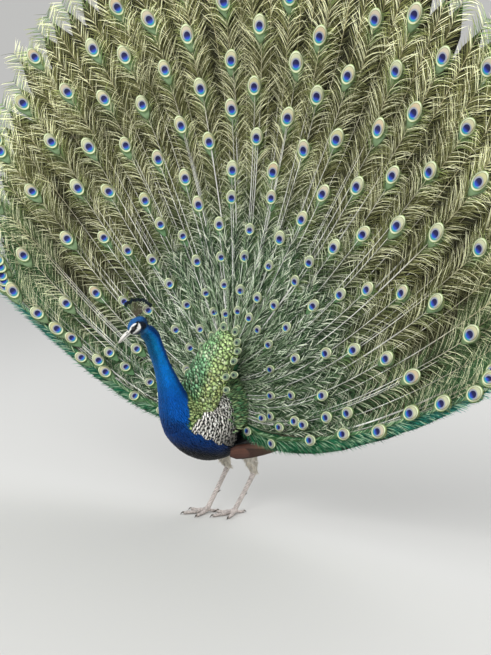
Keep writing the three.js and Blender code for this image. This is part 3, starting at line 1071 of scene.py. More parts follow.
@dataclass
class Plumage:
    """The skin, and the small feathers of head, neck, breast, belly, rump and saddle."""

    depth: float = 0.0042  # how far the skin lies inside the feathers' surface
    grid: float = 0.0023
    neck: Vane = Vane(length=0.0115, half=0.0034, stand=0.0004)
    breast: Vane = Vane(length=0.0165, half=0.0056, stand=0.0006, splay=6)
    face: Vane = Vane(
        length=0.0050, half=0.0015, sink=-0.0013, stand=0.0004, outline=(0.6, 1.0, 0.7), splay=7
    )
    scale: Vane = Vane(
        length=0.0175, half=0.0066, sink=-0.0040, stand=0.0040, outline=(0.45, 0.86, 1.0, 0.86, 0.5),
        ridge=0.2, splay=19,
    )
    rear: Vane = Vane(
        length=0.046, half=0.0046, sink=-0.004, stand=0.0190, outline=(0.5, 0.9, 1.0, 0.8, 0.45),
        splay=14,
    )
    # moss, leaf, gold, green, teal and glint
    saddle_tints: tuple = ("#83a45c", "#c3de9b", "#cfd58f", "#7cbd8c", "#62b59b", "#eef7cf")

    def skin(self) -> None:
        """The skin that takes the place of the flesh, in the markings' colours."""
        shells = [
            BODY.shell(0, 1, 110, 56, -self.depth),
            SKULL.shell(0.02, 0.98, 50, 40, -0.0012),
            SADDLE.shell(0, 1, 60, 56, -self.depth),
        ]
        shells += [thigh.shell(0, 1, 40, 30, -0.003) for thigh in THIGHS]
        points, triangles = melted(Cloud.join(shells), self.grid, 6)
        flat = np.zeros((len(points), 2))
        tint = MARKS.colour(points)
        # The white skin of the face is lifted to 1.05 against 0.8 elsewhere: painted light on a face
        # that lies in shade.
        tint = tint * (0.8 + 0.25 * ramp(tint.min(-1), 0.35, 0.6))[:, None]
        cloud = Cloud(points, triangles, tint, flat, flat)
        flesh = ["head", "neck_upper", "neck_lower", "trunk", "saddle", "thigh_left", "thigh_right"]
        paint = Painter(Finish("skin", roughness=0.6, metallic=0.2))
        grain = paint.noise(paint.place(), 400.0)
        light = paint.line(grain, 0.4, 0.8)
        cloud.piece("skin", paint.tinted(light, grain, 0.0004), "blue_feathers", *flesh)

    def cover(self) -> None:
        """Neck, breast, belly and rump feathers, which all point to the tail."""
        rng = np.random.default_rng(51)
        along, around = BODY.scatter(lambda t: 0.0074 - 0.0034 * ramp(t, 0.40, 0.72), 0.0, 0.985, rng)
        hidden = SKULL.holds(BODY.point(along, around), -0.0005)
        along, around = along[~hidden], around[~hidden]
        upper = along > 0.52
        neck = self.neck.lay(BODY, along[upper], around[upper], True, rng)
        lower = self.breast.lay(BODY, along[~upper], around[~upper], True, rng)
        finish = Finish("blue_feather", roughness=0.40, metallic=0.35, specular=0.22)
        coat = Cloud.join([neck, lower])
        coat.piece("coat", feathered(finish, streak=0.14, edge=0.32), "blue_feathers")

    def head(self) -> None:
        """The short feathers of the head, which point back from the bill, but on the white skin."""
        rng = np.random.default_rng(52)
        along, around = SKULL.scatter(lambda t: 0.0017 + 0.0007 * t, 0.17, 0.97, rng)
        points = SKULL.point(along, around)
        local = POSE.in_head(points)
        folded = local * np.where(local[:, :1] < 0, [-1, 1, 1], 1)
        eye = np.linalg.norm(folded - HeadParts.eye_place, axis=1)
        clear = (eye > 0.0072) & (MARKS.bare(local) < rng.uniform(0.1, 0.5, len(local)))
        clear &= ~BODY.holds(points, 0.72, 0.985, -0.001)
        cloud = self.face.lay(SKULL, along[clear], around[clear], False, rng)
        finish = Finish("head_feather", roughness=0.42, metallic=0.3)
        cloud.piece("coat_head", feathered(finish, streak=0.1, edge=0.3), "blue_feathers")

    def saddle_scales(self, rng: np.random.Generator) -> Cloud:
        """The saddle's scales, larger towards the fan: green to gold, teal at one edge.

        Args:
            rng: for places, sizes and tints.

        Returns:
            The scales.
        """
        moss, leaf, gold, green, teal, glint = self.saddle_tints
        along, around = SADDLE.scatter(lambda t: 0.0080 + 0.0026 * t, 0.03, 0.985, rng)
        count = len(along)
        reach, side, height = POSE.locate(SADDLE.point(along, around))
        ahead = reach - 0.6 * side
        ahead = ahead - np.polyval(np.polyfit(height, ahead, 1), height)
        tint = washed(
            leaf,
            (gold, rng.uniform(0, 1, count) * ramp(height, 0.60, 0.42)),
            (moss, rng.uniform(0, 0.5, count)),
            (green, 0.6 * ramp(ahead, -0.005, 0.030)),
            (teal, 0.3 * ramp(ahead, 0.010, 0.045) * ramp(height, 0.56, 0.48)),
        )
        tint = tint * (1.3 + 0.35 * ramp(height, 0.47, 0.60))[:, None]
        tint = tint * np.exp(rng.normal(0, 0.22, count))[:, None]
        tint = mix(tint, srgb(glint), 0.65 * (rng.uniform(0, 1, count) < 0.16))
        edge = ramp(np.abs(np.sin(2 * np.pi * around)), 0.80, 1.0)
        size = (0.84 + 0.5 * along + 0.35 * edge) * rng.uniform(0.75, 1.25, count)
        return self.scale.lay(SADDLE, along, around, False, rng, size=size, tint=tint)

    def shoulders(self, rng: np.random.Generator) -> Cloud:
        """Darker scales over the shoulders, up to an edge that falls with the height."""
        moss, leaf, gold = self.saddle_tints[:3]
        along, around = BODY.scatter(lambda t: 0.0074 + 0 * t, 0.36, 0.68, rng)
        reach, _, height = POSE.locate(BODY.point(along, around))
        keep = (np.abs(around - 0.5) * 360 < 125) & (height > 0.312)
        keep &= reach < MARKS.shoulder(height) + rng.uniform(-0.003, 0.002, len(along))
        along, around = along[keep], around[keep]
        spots, rare = rng.uniform(0, 0.8, len(along)), rng.uniform(0, 1, len(along))
        tint = washed(leaf, (moss, spots), (gold, 0.5 * rare))
        return self.scale.lay(BODY, along, around, True, rng, size=0.92, tint=tint)

    def tufts(self, rng: np.random.Generator) -> Cloud:
        """Long green feathers behind the wings, over the roots of the train."""
        along, around = BODY.scatter(lambda t: 0.0096 + 0 * t, 0.06, 0.40, rng)
        keep = np.abs(around - 0.5) * 360 < 92 + rng.uniform(-8, 8, len(along))
        along, around = along[keep], around[keep]
        share = rng.uniform(0, 1, len(along)) ** 1.3
        # Brightened 1.35 times past their own green: painted light, as these feathers lie in shadow
        # behind the wings.
        tint = 1.35 * washed("#6aa878", ("#c3d9a0", share))
        return self.rear.lay(BODY, along, around, True, rng, tint=tint)

    def saddle(self) -> None:
        """Saddle, shoulders and tufts in one piece, each scale dark at its edge."""
        rng = np.random.default_rng(53)
        cloud = Cloud.join([self.saddle_scales(rng), self.shoulders(rng), self.tufts(rng)])
        paint = Painter(Finish("saddle_scale", roughness=0.36, metallic=0.4))
        _, wide, along = paint.vane()
        far = paint.sum("MAXIMUM", paint.sum("MULTIPLY", wide, 0.9), along)
        colour = paint.blend(paint.between(far, 0.58, 0.90), paint.tint(), srgb("#1a2a12"))
        light = paint.line(paint.noise(paint.place(), 60.0), 0.5, 0.75)
        middle = paint.line(paint.between(far, 0.55, 0.30), -0.35, 1.05)
        shade = paint.shaded(colour, paint.sum("MULTIPLY", light, middle))
        material = paint.finish(shade, paint.barbs(along, wide, 40.0), 0.0001)
        cloud.piece("saddle_scales", material, "saddle_scales")

    def build(self) -> None:
        """Make the skin and its coats."""
        self.skin()
        self.cover()
        self.head()
        self.saddle()


# --- head


@dataclass
class HeadParts:
    """Eyes with their lids, the two halves of the bill, and the crest."""

    eye_place: tuple = (0.0146, -0.0120, 0.0035)
    eye_radius: float = 0.0052
    bill_root: float = 0.022
    bill_tip: float = 0.079
    bill_half: float = 0.0074
    bill_upper: float = 0.0088
    bill_lower: float = 0.0054
    bill_hook: float = 0.0055
    bill_drop: float = -0.002
    plumes: int = 24
    plume_lean: float = 46  # degrees backwards in the middle
    plume_spread: float = 98  # degrees from the first to the last
    plume_length: float = 0.057
    plume_root: tuple = (0.0, 0.019, 0.0262)

    def eye(self, side: int) -> None:
        """An eyeball of rings about its own axis, and two folded lids round it.

        The ball's radius at a ring is r sin(angle), and its place along the axis r cos(angle).

        Args:
            side: 1 for the left eye, -1 for the right.
        """
        name = SIDES[side]
        place = np.array(self.eye_place) * [side, 1, 1]
        outward = unit(np.array([side * 1.0, -0.22, 0.06]))
        angle = np.linspace(0.04, 0.985, 22) * np.pi
        line = place - outward * np.cos(angle)[:, None] * self.eye_radius
        ball = pipes(POSE.head(line)[None], np.sin(angle) * self.eye_radius, 28, BLACK)
        paint = Painter(Finish("eye", roughness=0.12, coat=1.0, specular=0.6))
        paint.set("Coat Roughness", 0.03)
        _, _, along = paint.vane()
        iris = paint.blend(paint.noise(paint.place(), 1500.0), srgb("#1f0f08"), srgb("#3f2312"))
        colour = paint.blend(paint.between(along, 0.845, 0.86), iris, srgb("#020202"))
        colour = paint.blend(paint.between(along, 0.735, 0.715), colour, srgb("#0a0605"))
        ball.piece(f"eye_{name}", paint.finish(colour), "eye", f"eye_{name}")
        self.lids(name, place, outward)

    def lids(self, name: str, place: Array, outward: Array) -> None:
        """Rings round the eye: an almond a cos u, b sin u with a corner in front, in two folds.

        Args:
            name: left or right.
            place: the eye's middle, in the head's frame.
            outward: the way it looks.
        """
        ahead = unit(np.cross(UP, outward))
        ahead = ahead * -np.sign(ahead[1])
        above = np.cross(ahead, outward)
        above = above * np.sign(above[2])
        turn = 2 * np.pi * np.arange(36) / 36
        section = 2 * np.pi * np.arange(8) / 8
        corner = 1 + 0.16 * np.exp(-((np.minimum(turn, 2 * np.pi - turn) / 0.35) ** 2))
        folds = []
        for wide, out, thick in ((0.0041, 0.0036, 0.00062), (0.0052, 0.0027, 0.00085)):
            centre = place + outward * out
            ring = (
                centre
                + ahead * (1.10 * wide * np.cos(turn) * corner)[:, None]
                + above * (0.93 * wide * np.sin(turn))[:, None]
                - outward * (0.0009 * np.cos(turn) ** 2)[:, None]
            )
            radial = unit(ring - centre)
            spread = radial[:, None] * np.cos(section)[:, None] + outward * np.sin(section)[:, None]
            folds.append(loop_of(POSE.head(ring[:, None] + thick * spread)))
        paint = Painter(Finish("lid", roughness=0.5))
        grain = paint.noise(paint.place(), 1800.0)
        colour = paint.blend(grain, srgb("#16161a"), srgb("#3b3a3e"))
        Cloud.join(folds).piece(f"lids_{name}", paint.finish(colour, grain, 0.0002), "eye")

    def bill(self, upper: bool) -> None:
        """One half: half an ellipse on the bill's line, y = -(root to tip), hooked as t ** 2.6.

        Args:
            upper: whether it is the upper half, which has the nostrils.
        """
        name, sign, tall, slim, short = (
            ("bill_upper", 1, self.bill_upper, 1.0, 0.0)
            if upper
            else ("bill_lower", -1, self.bill_lower, 0.93, 0.005)
        )
        share = np.linspace(0, 0.985, 30)[:, None]
        fall = np.sqrt(1 - np.minimum(0.985, share**2.4))
        turn = np.linspace(0, np.pi, 15)
        # the flat side bulges back a little, so that the half is closed
        section = np.concatenate([turn, turn[-2:0:-1]])
        height = np.concatenate([np.sin(turn), 0.06 * np.sin(turn[-2:0:-1])])
        ridge = 1 + 0.10 * np.exp(-(((section - np.pi / 2) / 0.25) ** 2)) * upper
        across = self.bill_half * slim * fall * np.cos(section)
        rise = tall * fall * height * ridge
        cut = self.bill_drop + sign * 0.0002 - self.bill_hook * share**2.6
        slot = np.exp(-(((np.abs(np.cos(section)) - 0.74) / 0.13) ** 2)) * (height > 0.3)
        nostril = upper * np.exp(-(((share - 0.26) / 0.06) ** 2)) * slot
        inward = 1 - 0.17 * nostril
        back = -(self.bill_root + (self.bill_tip - short - self.bill_root) * share)
        rings = np.stack(np.broadcast_arrays(across * inward, back, cut + sign * rise * inward), -1)
        dark = "#1d1b19"
        tint = washed(
            "#efece3",
            ("#c2beb4", ramp(share, 0.45, 0.95)),
            (dark, 0.6 * ramp(share, 0.12, 0.0)),
            (dark, 0.95 * ramp(height, 0.30, 0.12) * ramp(share, 0.75, 0.35)),
            (dark, 0.95 * np.minimum(1.6 * nostril, 1)),
        )
        if upper:
            rings, tint = rings[:, ::-1], tint[:, ::-1]
        end = rings[-1].mean(0) + [0, -0.0004, -0.0003]
        tint = np.vstack([tint.reshape(-1, 3), tint[-1, :1]])
        flat = np.zeros(2)
        cloud = tubes(POSE.head(rings)[None], POSE.head(end)[None], tint[None], flat, flat)
        paint = Painter(Finish("horn", roughness=0.38, specular=0.5))
        grain = paint.noise(paint.place(), 420.0)
        material = paint.tinted(paint.line(grain, 0.3, 0.85), grain, 0.0002)
        cloud.piece(name, material, "horn", name)

    def flat(self, path: Array, course: Array, half: Array, rise: Array, tint: Array) -> Cloud:
        """Blades in the head's frame, whose flat side faces its left."""
        left = np.array([1.0, 0.0, 0.0])
        turn = POSE.head_turn().T
        side, out = np.cross(left, course) @ turn, left @ turn * np.ones_like(course)
        none = np.zeros((len(path), 2))
        return blades(POSE.head(path), side[:, None], out[:, None], half, rise, tint, none)

    def crest(self) -> None:
        """Bare shafts that fan out from the crown, each with a small spade of a vane."""
        rng = np.random.default_rng(61)
        count = self.plumes
        share = np.linspace(-0.5, 0.5, count)
        angle = np.radians(self.plume_lean + self.plume_spread * share)
        along = unit(np.stack([rng.uniform(-0.13, 0.13, count), np.sin(angle), np.cos(angle)], -1))
        foot = np.array(self.plume_root) + np.outer(share, [0, 0.009, 0]) - along * 0.006
        length = self.plume_length * (1 - 0.25 * share**2) * rng.uniform(0.93, 1.03, count)

        def spot(owner: Array, place: Array) -> Array:
            """Places on shafts: foot + along * length * t, bowed back by 8 mm * t (1 - t)."""
            straight = foot[owner] + along[owner] * (length[owner] * place)[..., None]
            return straight + np.array([0.0, 0.008, 0.0]) * (place * (1 - place))[..., None]

        tint, left = srgb("#6f6152"), POSE.head_turn()[:, 0]
        lines = spot(np.arange(count)[:, None], np.linspace(0, 1, 7))
        shafts = pipes(POSE.head(lines), np.linspace(0.00040, 0.00026, 7), 5, tint, left)
        spots = np.linspace(0.2, 0.8, 12)
        owner = np.repeat(np.arange(count), 2 * len(spots))
        start = spot(owner, np.tile(np.repeat(spots, 2), count))
        sign = np.tile([-1.0, 1.0], count * len(spots))[:, None]
        across = unit(np.cross(np.array([1.0, 0.0, 0.0]), along))
        course = unit(along[owner] + across[owner] * 0.55 * sign)
        reach = rng.uniform(0.0035, 0.006, len(owner))[:, None, None] * np.linspace(0, 1, 3)[:, None]
        thin = np.full((len(owner), 2), 0.00016)
        barbs = self.flat(start[:, None] + course[:, None] * reach, course, thin, thin, tint)
        rows = 0.0062 * np.array([-1.0, -0.62, -0.2, 0.25, 0.62, 0.86, 1.05])
        path = (foot + along * length[:, None])[:, None] + along[:, None] * rows[:, None]
        half = 0.0040 * np.array([0.10, 0.42, 0.78, 1.0, 0.88, 0.55]) * np.ones((count, 1))
        blue = washed("#06121c", ("#0a2a34", rng.uniform(0, 1, count)))[:, None]
        spades = self.flat(path, along, half, np.full_like(half, 0.0009), blue)
        finish = Finish("crest_feather", roughness=0.4, metallic=0.3)
        cloud = Cloud.join([shafts, barbs, spades])
        cloud.piece("crest", feathered(finish, streak=0.3, edge=0.3), "crest", "crest")

    def build(self) -> None:
        """Make the eyes, the bill and the crest."""
        for side in SIDES:
            self.eye(side)
        for upper in (True, False):
            self.bill(upper)
        self.crest()


# --- legs


@dataclass
class Leg:
    """A scaled leg: tarsus, spur, four toes with their claws, and the feathered thigh."""

    side: str
    heel: tuple
    ankle: tuple
    hip: tuple
    yaw: float
    # turn in degrees, length and radius of each
    toes: tuple = ((42, 0.066, 0.0068), (0, 0.088, 0.0074), (-42, 0.072, 0.0068), (178, 0.036, 0.0058))
    sole: float = 0.0011  # how deep the toes' round section is cut by the floor
    knuckle: tuple = (0.0088, 0.0082)  # radius and half height of the foot's middle
    tarsus: tuple = (0.0084, 0.0076, 0.0098)  # radius at the foot, above it and at the ankle
    scute: float = 0.0052
    claw: float = 0.0165
    tuft: Vane = Vane(
        length=0.021, half=0.0024, sink=-0.003, stand=0.0042, outline=(0.6, 1.0, 0.7, 0.3), splay=21
    )

    def ahead(self, turn: float = 0.0) -> Array:
        """The level direction of a toe that is turned off the foot's own."""
        angle = math.radians(self.yaw - turn)
        return np.array([math.sin(angle), -math.cos(angle), 0.0])

    def toe_line(self, turn: float, length: float, radius: float) -> tuple[Array, Array]:
        """Middle line and radii of one toe, with a swelling at each joint."""
        low = radius - self.sole
        level = [self.heel[2] - 0.004, low + 0.0034, low, low - 0.0004, low - 0.0016]
        knots = np.array([*self.heel[:2], 0]) + np.outer(
            length * np.array([0, 0.22, 0.5, 0.8, 0.93]), self.ahead(turn)
        )
        knots[:, 2] = level
        step = np.linspace(0, 1, 28)
        joints = 3 if length > 0.04 else 2
        swell = 1 + 0.10 * np.cos(2 * np.pi * joints * (step - 0.12))
        return Spline(knots).at(step), radius * (1.04 - 0.40 * step) * swell

    def tarsus_line(self) -> tuple[Array, Array]:
        """Middle line and radii from the toes up to the ankle."""
        heel, ankle = np.array(self.heel), np.array(self.ankle)
        step = np.linspace(0, 1, 40)
        bottom, middle, top = self.tarsus
        radius = bottom + (middle - bottom) * np.clip(step * 3, 0, 1)
        radius = radius + (top - radius) * np.clip((step - 0.62) / 0.38, 0, 1) ** 2
        line = heel + (ankle - heel) * step[:, None]
        line[:, 0] += 0.0012 * np.sin(np.pi * step)
        return line, radius

    def unroll(self, points: Array, lines: Sequence[Array]) -> tuple[Array, Array]:
        """How far along the nearest of some lines points lie, and their direction off it.

        Args:
            points: the places, (count, 3).
            lines: the middle lines, (rows, 3) each.

        Returns:
            The travel along the line, and a unit vector from the line to each place.
        """
        far = np.full(len(points), 1.0)
        travel, middle = np.zeros(len(points)), np.zeros_like(points)
        for index, line in enumerate(lines):
            steps = np.linalg.norm(np.diff(line, axis=0), axis=1)
            total = np.concatenate([[0], np.cumsum(steps)])
            gap = np.linalg.norm(points[:, None] - line, axis=2)
            best, least = gap.argmin(1), gap.min(1)
            course = unit(np.gradient(line, axis=0))[best]
            offset = np.sum((points - line[best]) * course, 1)
            closer = least < far
            far = np.where(closer, least, far)
            travel = np.where(closer, total[best] + offset + index * 0.0013, travel)
            foot = line[best] + course * offset[:, None]
            middle = np.where(closer[:, None], foot, middle)
        return travel, unit(points - middle)

    def skin(self) -> None:
        """Tarsus and toes melted into one skin, cut by the edges of its scutes."""
        angle = np.linspace(0.03, 0.97, 12) * np.pi
        knob = np.array([*self.heel[:2], 0.011]) - np.outer(np.cos(angle) * self.knuckle[1], UP)
        tarsus, thick = self.tarsus_line()
        toes = [self.toe_line(*toe) for toe in self.toes]
        parts = [pipes((STANDING + tarsus)[None], thick, 20, BLACK, AWAY)]
        parts += [pipes((STANDING + toe)[None], size, 16, BLACK) for toe, size in toes]
        size = np.sin(angle) * self.knuckle[0]
        parts.append(pipes((STANDING + knob)[None], size, 16, BLACK, AWAY))
        points, triangles = melted(Cloud.join(parts), 0.00105, 3)
        rest = points - STANDING
        travel, out = self.unroll(rest, [tarsus] + [toe for toe, _ in toes])
        face = ramp(out @ (self.ahead() + 0.35 * UP), -0.15, 0.25)
        phase = travel / np.where(rest[:, 2] > 0.022, self.scute, 0.0030)
        groove = np.exp(-((((phase % 1.0) - 0.5) / 0.16) ** 2))
        depth = 0.00045 * groove * face + 0.00010 * (1 - face) * np.sin(phase * 12) ** 2
        points = points - out * depth[:, None]
        points[:, 2] = np.maximum(points[:, 2], 0.0002)
        deep_brown = "#2c2622"
        # Darker in the scutes' grooves, and towards the floor within 6 mm of it.
        tint = washed(
            "#e4d9d2",
            ("#b3a79f", 0.5 * (1 - face)),
            (deep_brown, 0.95 * groove * face),
            (deep_brown, 0.5 * ramp(rest[:, 2], 0.006, 0.0)),
        )
        vane = np.stack([phase % 1.0, face], -1)
        cloud = Cloud(points, triangles, tint, vane, np.zeros_like(vane))
        paint = Painter(Finish("leg_skin", roughness=0.55, specular=0.4))
        grain = paint.noise(paint.place(), 700.0)
        mottle = paint.between(paint.noise(paint.place(), 160.0, 3.0), 0.36, 0.60)
        light = paint.line(grain, 0.35, paint.line(mottle, 0.42, 0.50))
        solids = f"tarsus_{self.side}", f"foot_{self.side}"
        material = paint.tinted(light, grain, 0.0003)
        cloud.piece(f"leg_{self.side}", material, "leg_skin", *solids)

    def claws(self) -> None:
        """Claws that curve down from the toes' ends, and the spur behind the tarsus."""
        lines, radii = [], []
        step = np.linspace(0, 1, 9)
        for turn, length, size in self.toes:
            reach = self.claw * (0.8 if length < 0.04 else 1.0)
            root = self.toe_line(turn, length, size)[0][-1] - self.ahead(turn) * 0.004
            arch = 0.0042 * np.sin(np.pi * np.clip(step * 1.15, 0, 1))
            rise = arch - (root[2] - 0.0014) * step**1.6
            lines.append(root + np.outer(step * reach, self.ahead(turn)) + np.outer(rise, UP))
            radii.append(0.0030 * (1 - step) ** 0.75 + 0.00025)
        back = unit(0.25 * UP - self.ahead())
        foot = self.tarsus_line()[0][14]
        lines.append(foot + np.outer(0.003 + step * 0.017, back) + np.outer(step**2 * 0.003, UP))
        radii.append(0.0034 * (1 - step) ** 0.8 + 0.0003)
        cloud = pipes(STANDING + np.array(lines), np.array(radii), 10, srgb("#4a4238"))
        paint = Painter(Finish("claw_horn", roughness=0.35, specular=0.5))
        _, _, along = paint.vane()
        colour = paint.blend(paint.between(along, 0.1, 0.8), srgb("#7b7266"), srgb("#2e2a25"))
        material = paint.finish(colour, paint.noise(paint.place(), 900.0), 0.0001)
        cloud.piece(f"claws_{self.side}", material, "horn")

    def thigh_coat(self, thigh: Thigh) -> None:
        """Loose buff feathers that point down the thigh and end in a cuff."""
        rng = np.random.default_rng(71 if self.side == "left" else 72)
        along, around = thigh.scatter(lambda t: 0.0058 - 0.0024 * t, 0.12, 1.0, rng)
        pale = rng.uniform(0, 1, len(along))
        tint = washed("#fbf6ea", ("#d8cdb8", pale), ("#7b6c56", 0.5 * ramp(along, 0.40, 0.1)))
        size = (1.20 - 0.50 * along) * rng.uniform(0.55, 1.45, len(along))
        cloud = self.tuft.lay(thigh, along, around, False, rng, size=size, tint=tint)
        material = feathered(Finish("thigh_feather", roughness=0.7, sheen=0.3), streak=0.4, edge=0.2)
        cloud.piece(f"thigh_coat_{self.side}", material, "thigh_feathers")

    def build(self, thigh: Thigh) -> None:
        """Make the leg."""
        self.skin()
        self.claws()
        self.thigh_coat(thigh)


LEGS = (
    Leg("left", (0.050, 0.028, 0.017), (0.064, 0.109, 0.126), (0.066, 0.040), -22),
    Leg("right", (-0.031, -0.015, 0.017), (-0.014, 0.066, 0.142), (-0.040, 0.006), -34),
)
THIGHS = tuple(Thigh(leg.ankle, leg.hip) for leg in LEGS)


# --- wings


@dataclass
class WingCoat:
    """The barred coverts of one wing and the chestnut quills folded under them."""

    side: int
    covert: Vane = Vane(
        length=0.038, half=0.0112, sink=-0.0022, stand=0.0018, outline=(0.5, 0.9, 1.0, 0.95, 0.6),
        ridge=0.12, splay=5,
    )
    spacing: float = 0.0145
    start: tuple = (0.006, 0.080, 0.219)  # reach, side, height of the quills' root
    end: tuple = (-0.236, 0.098, 0.221)
    root_height: float = 0.044
    tip_height: float = 0.006
    quills: int = 9

    def coverts(self) -> None:
        """Barred feathers in rows over the pad, largest at its back."""
        rng = np.random.default_rng(81 + self.side)
        wing = Wing(BODY, self.side)
        along, around = wing.scatter(lambda t: self.spacing * (0.62 + 0.38 * t), 0.02, 0.98, rng)
        up = 2 * around - 1
        reach, _, height = POSE.locate(wing.point(along, around))
        inside = ((0.76 - 2 * along) / 0.92) ** 2 + up**2 < 0.95
        inside &= (height > 0.238 + 0.5 * reach) & (height < 0.457 - 0.81 * reach)
        inside &= reach > 0.010 + 0.25 * (height - 0.277)
        along, around, up = along[inside], around[inside], up[inside]
        tint = washed(
            "#efeae1",
            ("#fffdf6", rng.uniform(0, 1, len(along))),
            ("#3d3831", 0.9 * ramp(along - 0.35 * up, 0.28, 0.84)),
        )
        size, twist = 0.72 + 0.30 * along, self.side * (10 * up - 24.0)
        cloud = self.covert.lay(wing, along, around, False, rng, size=size, tint=tint, twist=twist)
        paint = Painter(Finish("wing_covert", roughness=0.55))
        across, wide, rise = paint.vane()
        wave = paint.noise(paint.place(), 95.0, 3.0)
        course = paint.line(rise, 17.0, paint.sum("MULTIPLY", across, 2.2 * self.side))
        course = paint.line(wide, -2.0, paint.line(wave, 5.0, course))
        bars = paint.between(paint.sum("SINE", course), -0.12, 0.12)
        colour = paint.blend(bars, paint.tint(), srgb("#0a0908"))
        rim = paint.between(paint.sum("MAXIMUM", wide, rise), 0.86, 1.0)
        material = paint.finish(paint.shaded(colour, paint.line(rim, -0.25, 1.12)), wave, 0.0002)
        name = f"wing_{SIDES[self.side]}"
        cloud.piece(name, material, "barred_feathers", name)

    def flight(self) -> None:
        """Folded quills: long blades in a stack, start + (end - start) t + a bow up."""
        rng = np.random.default_rng(91 + self.side)
        count = self.quills
        order = np.linspace(-0.5, 0.5, count)[:, None]
        share = np.append(np.linspace(0, 0.93, 9), 1.0)
        tall = self.root_height + (self.tip_height - self.root_height) * share**1.4
        tall = tall * (0.5 + 0.5 * np.sqrt(np.clip(share / 0.15, 0, 1)))
        travel = share * (1 - 0.22 * np.abs(order + 0.15) - rng.uniform(0, 0.03, (count, 1)))
        line = np.array(self.start) + (np.array(self.end) - self.start) * travel[..., None]
        reach, side, height = np.moveaxis(line, -1, 0)
        height = height - 0.004 * np.sin(np.pi * travel) + order * tall * 0.82
        side = side + (order + 0.5) * 0.0045 - 0.0020
        path = POSE.body(reach, self.side * side, height)
        course = unit(np.gradient(path, axis=1))[:, :-1]
        out = np.broadcast_to(POSE.along(0, self.side, 0), course.shape)
        outline = np.array([0.5, 0.72, 0.88, 0.97, 1.0, 1.0, 0.96, 0.84, 0.55])
        half = 0.0112 * outline * np.ones((count, 1))
        tint = washed("#4c2a1f", ("#744735", rng.uniform(0, 1, count)))[:, None]
        # Paler towards the tip: partly the quills' own colour, partly painted light where the fan's
        # shadow falls on them.
        tint = mix(tint, srgb("#ab8361"), 0.8 * ramp(share, 0.25, 0.85))
        patch = np.stack([np.full(count, 0.5), np.linspace(0.1, 0.9, count)], -1)
        rise = np.full_like(half, 0.0016)
        cloud = blades(path, np.cross(out, course), out, half, rise, tint, patch)
        material = feathered(Finish("quill", roughness=0.5), streak=0.35, edge=0.7)
        name = f"quills_{SIDES[self.side]}"
        cloud.piece(name, material, "chestnut_quills", name)

    def build(self) -> None:
        """Make the coverts and the quills."""
        self.coverts()
        self.flight()


# --- the train


@dataclass(frozen=True)
class Fan:
    """The curved surface that the train's feathers lie in, in the standing point's frame."""

    centre: tuple = (0.0, 0.080, 0.453)
    lift: float = 0.057  # upwards, most in the middle
    roll: float = 4.0  # degrees that the fan is turned in its plane
    lean: float = 0.2  # backwards with the height
    curl: float = 0.158  # forwards with the square of the reach
    edge: float = 50.0  # degrees from the middle to the side, without the droop
    droop: float = 42.0
    droop_start: float = 0.3
    droop_power: int = 4
    rim: float = 1.48  # reach of the tips at the top
    rim_loss: float = 0.43

    def limit(self, place: Array) -> Array:
        """How far the tips reach at a place: rim - loss * place ** 10."""
        return self.rim - self.rim_loss * place**10

    def angle(self, place: Array, reach: Array) -> Array:
        """place * edge + sign(place) * |place| ** 4 * droop / (reach + start), in degrees.

        The outermost feathers so leave downwards and rise further out.
        """
        droop = np.abs(place) ** self.droop_power * self.droop / (reach + self.droop_start)
        return place * self.edge + np.sign(place) * droop

    def place_at(self, angle: Array, reach: float) -> Array:
        """The place whose feather has an angle at a reach, by looking it up."""
        places = np.linspace(-1, 1, 401)
        return np.interp(angle, self.angle(places, reach), places)

    def sheet(self, angle: Array, reach: Array, depth: Array) -> Array:
        """Points of the sheet that the fan lies in, by an angle from its axis in degrees.

        centre + (reach sin, lean reach cos - curl reach ** 2 + depth, (reach + lift) cos).
        """
        angle, reach, depth = np.broadcast_arrays(np.radians(angle + self.roll), reach, depth)
        local = np.stack(
            [
                reach * np.sin(angle),
                self.lean * reach * np.cos(angle) - self.curl * reach**2 + depth,
                (reach + self.lift) * np.cos(angle),
            ],
            -1,
        )
        return STANDING + np.array(self.centre) + local

    def point(self, place: Array, reach: Array, depth: Array) -> Array:
        """Points of the fan by place (-1 to 1), reach along the feather and depth behind."""
        return self.sheet(self.angle(place, reach), reach, depth)

    def basis(self, place: Array, reach: Array, depth: Array) -> tuple[Array, Array, Array, Array]:
        """Point, unit vectors along the shaft, across it and to the front, by differences."""
        step = STEP
        here = self.point(place, reach, depth)
        along = unit(self.point(place, reach + step, depth) - self.point(place, reach - step, depth))
        aside = self.point(place + step, reach, depth) - self.point(place - step, reach, depth)
        front = unit(np.cross(along, aside))
        front = front * np.where(front[..., 1:2] > 0, -1.0, 1.0)
        return here, along, np.cross(front, along), front

    def unwrap(self, place: Array, reach: Array) -> Array:
        """OFBake place: the fan laid flat, 3.2 m wide."""
        flat = self.point(place, reach, 0.0) - STANDING
        return np.stack([0.5 + flat[..., 0] / 3.2, 0.05 + flat[..., 2] / 3.2], -1)


FAN = Fan()


class Plume(Enum):
    """Kinds of train feathers."""

    EYED = "eyed"
    FORKED = "forked"
    SWORD = "sword"
    COVER = "cover"


@dataclass
class Feathers:
    """A set of train feathers of one kind: where each lies and how large its end is."""

    kind: Plume
    place: Array  # across the fan, -1 to 1
    reach: Array  # of the eye's middle, or of the tip
    size: Array | float = 0.0  # half width of the eye, if there is one

    def depth(self) -> Array:
        """Short feathers lie in front of long ones."""
        ahead = {Plume.COVER: -0.006, Plume.SWORD: -0.016}.get(self.kind, 0.0)
        return (self.reach / 1.3 - 0.5) * 0.032 + ahead

    def part(self, pick: Array) -> "Feathers":
        """Some of the feathers."""
        return Feathers(self.kind, self.place[pick], self.reach[pick], self.size[pick])


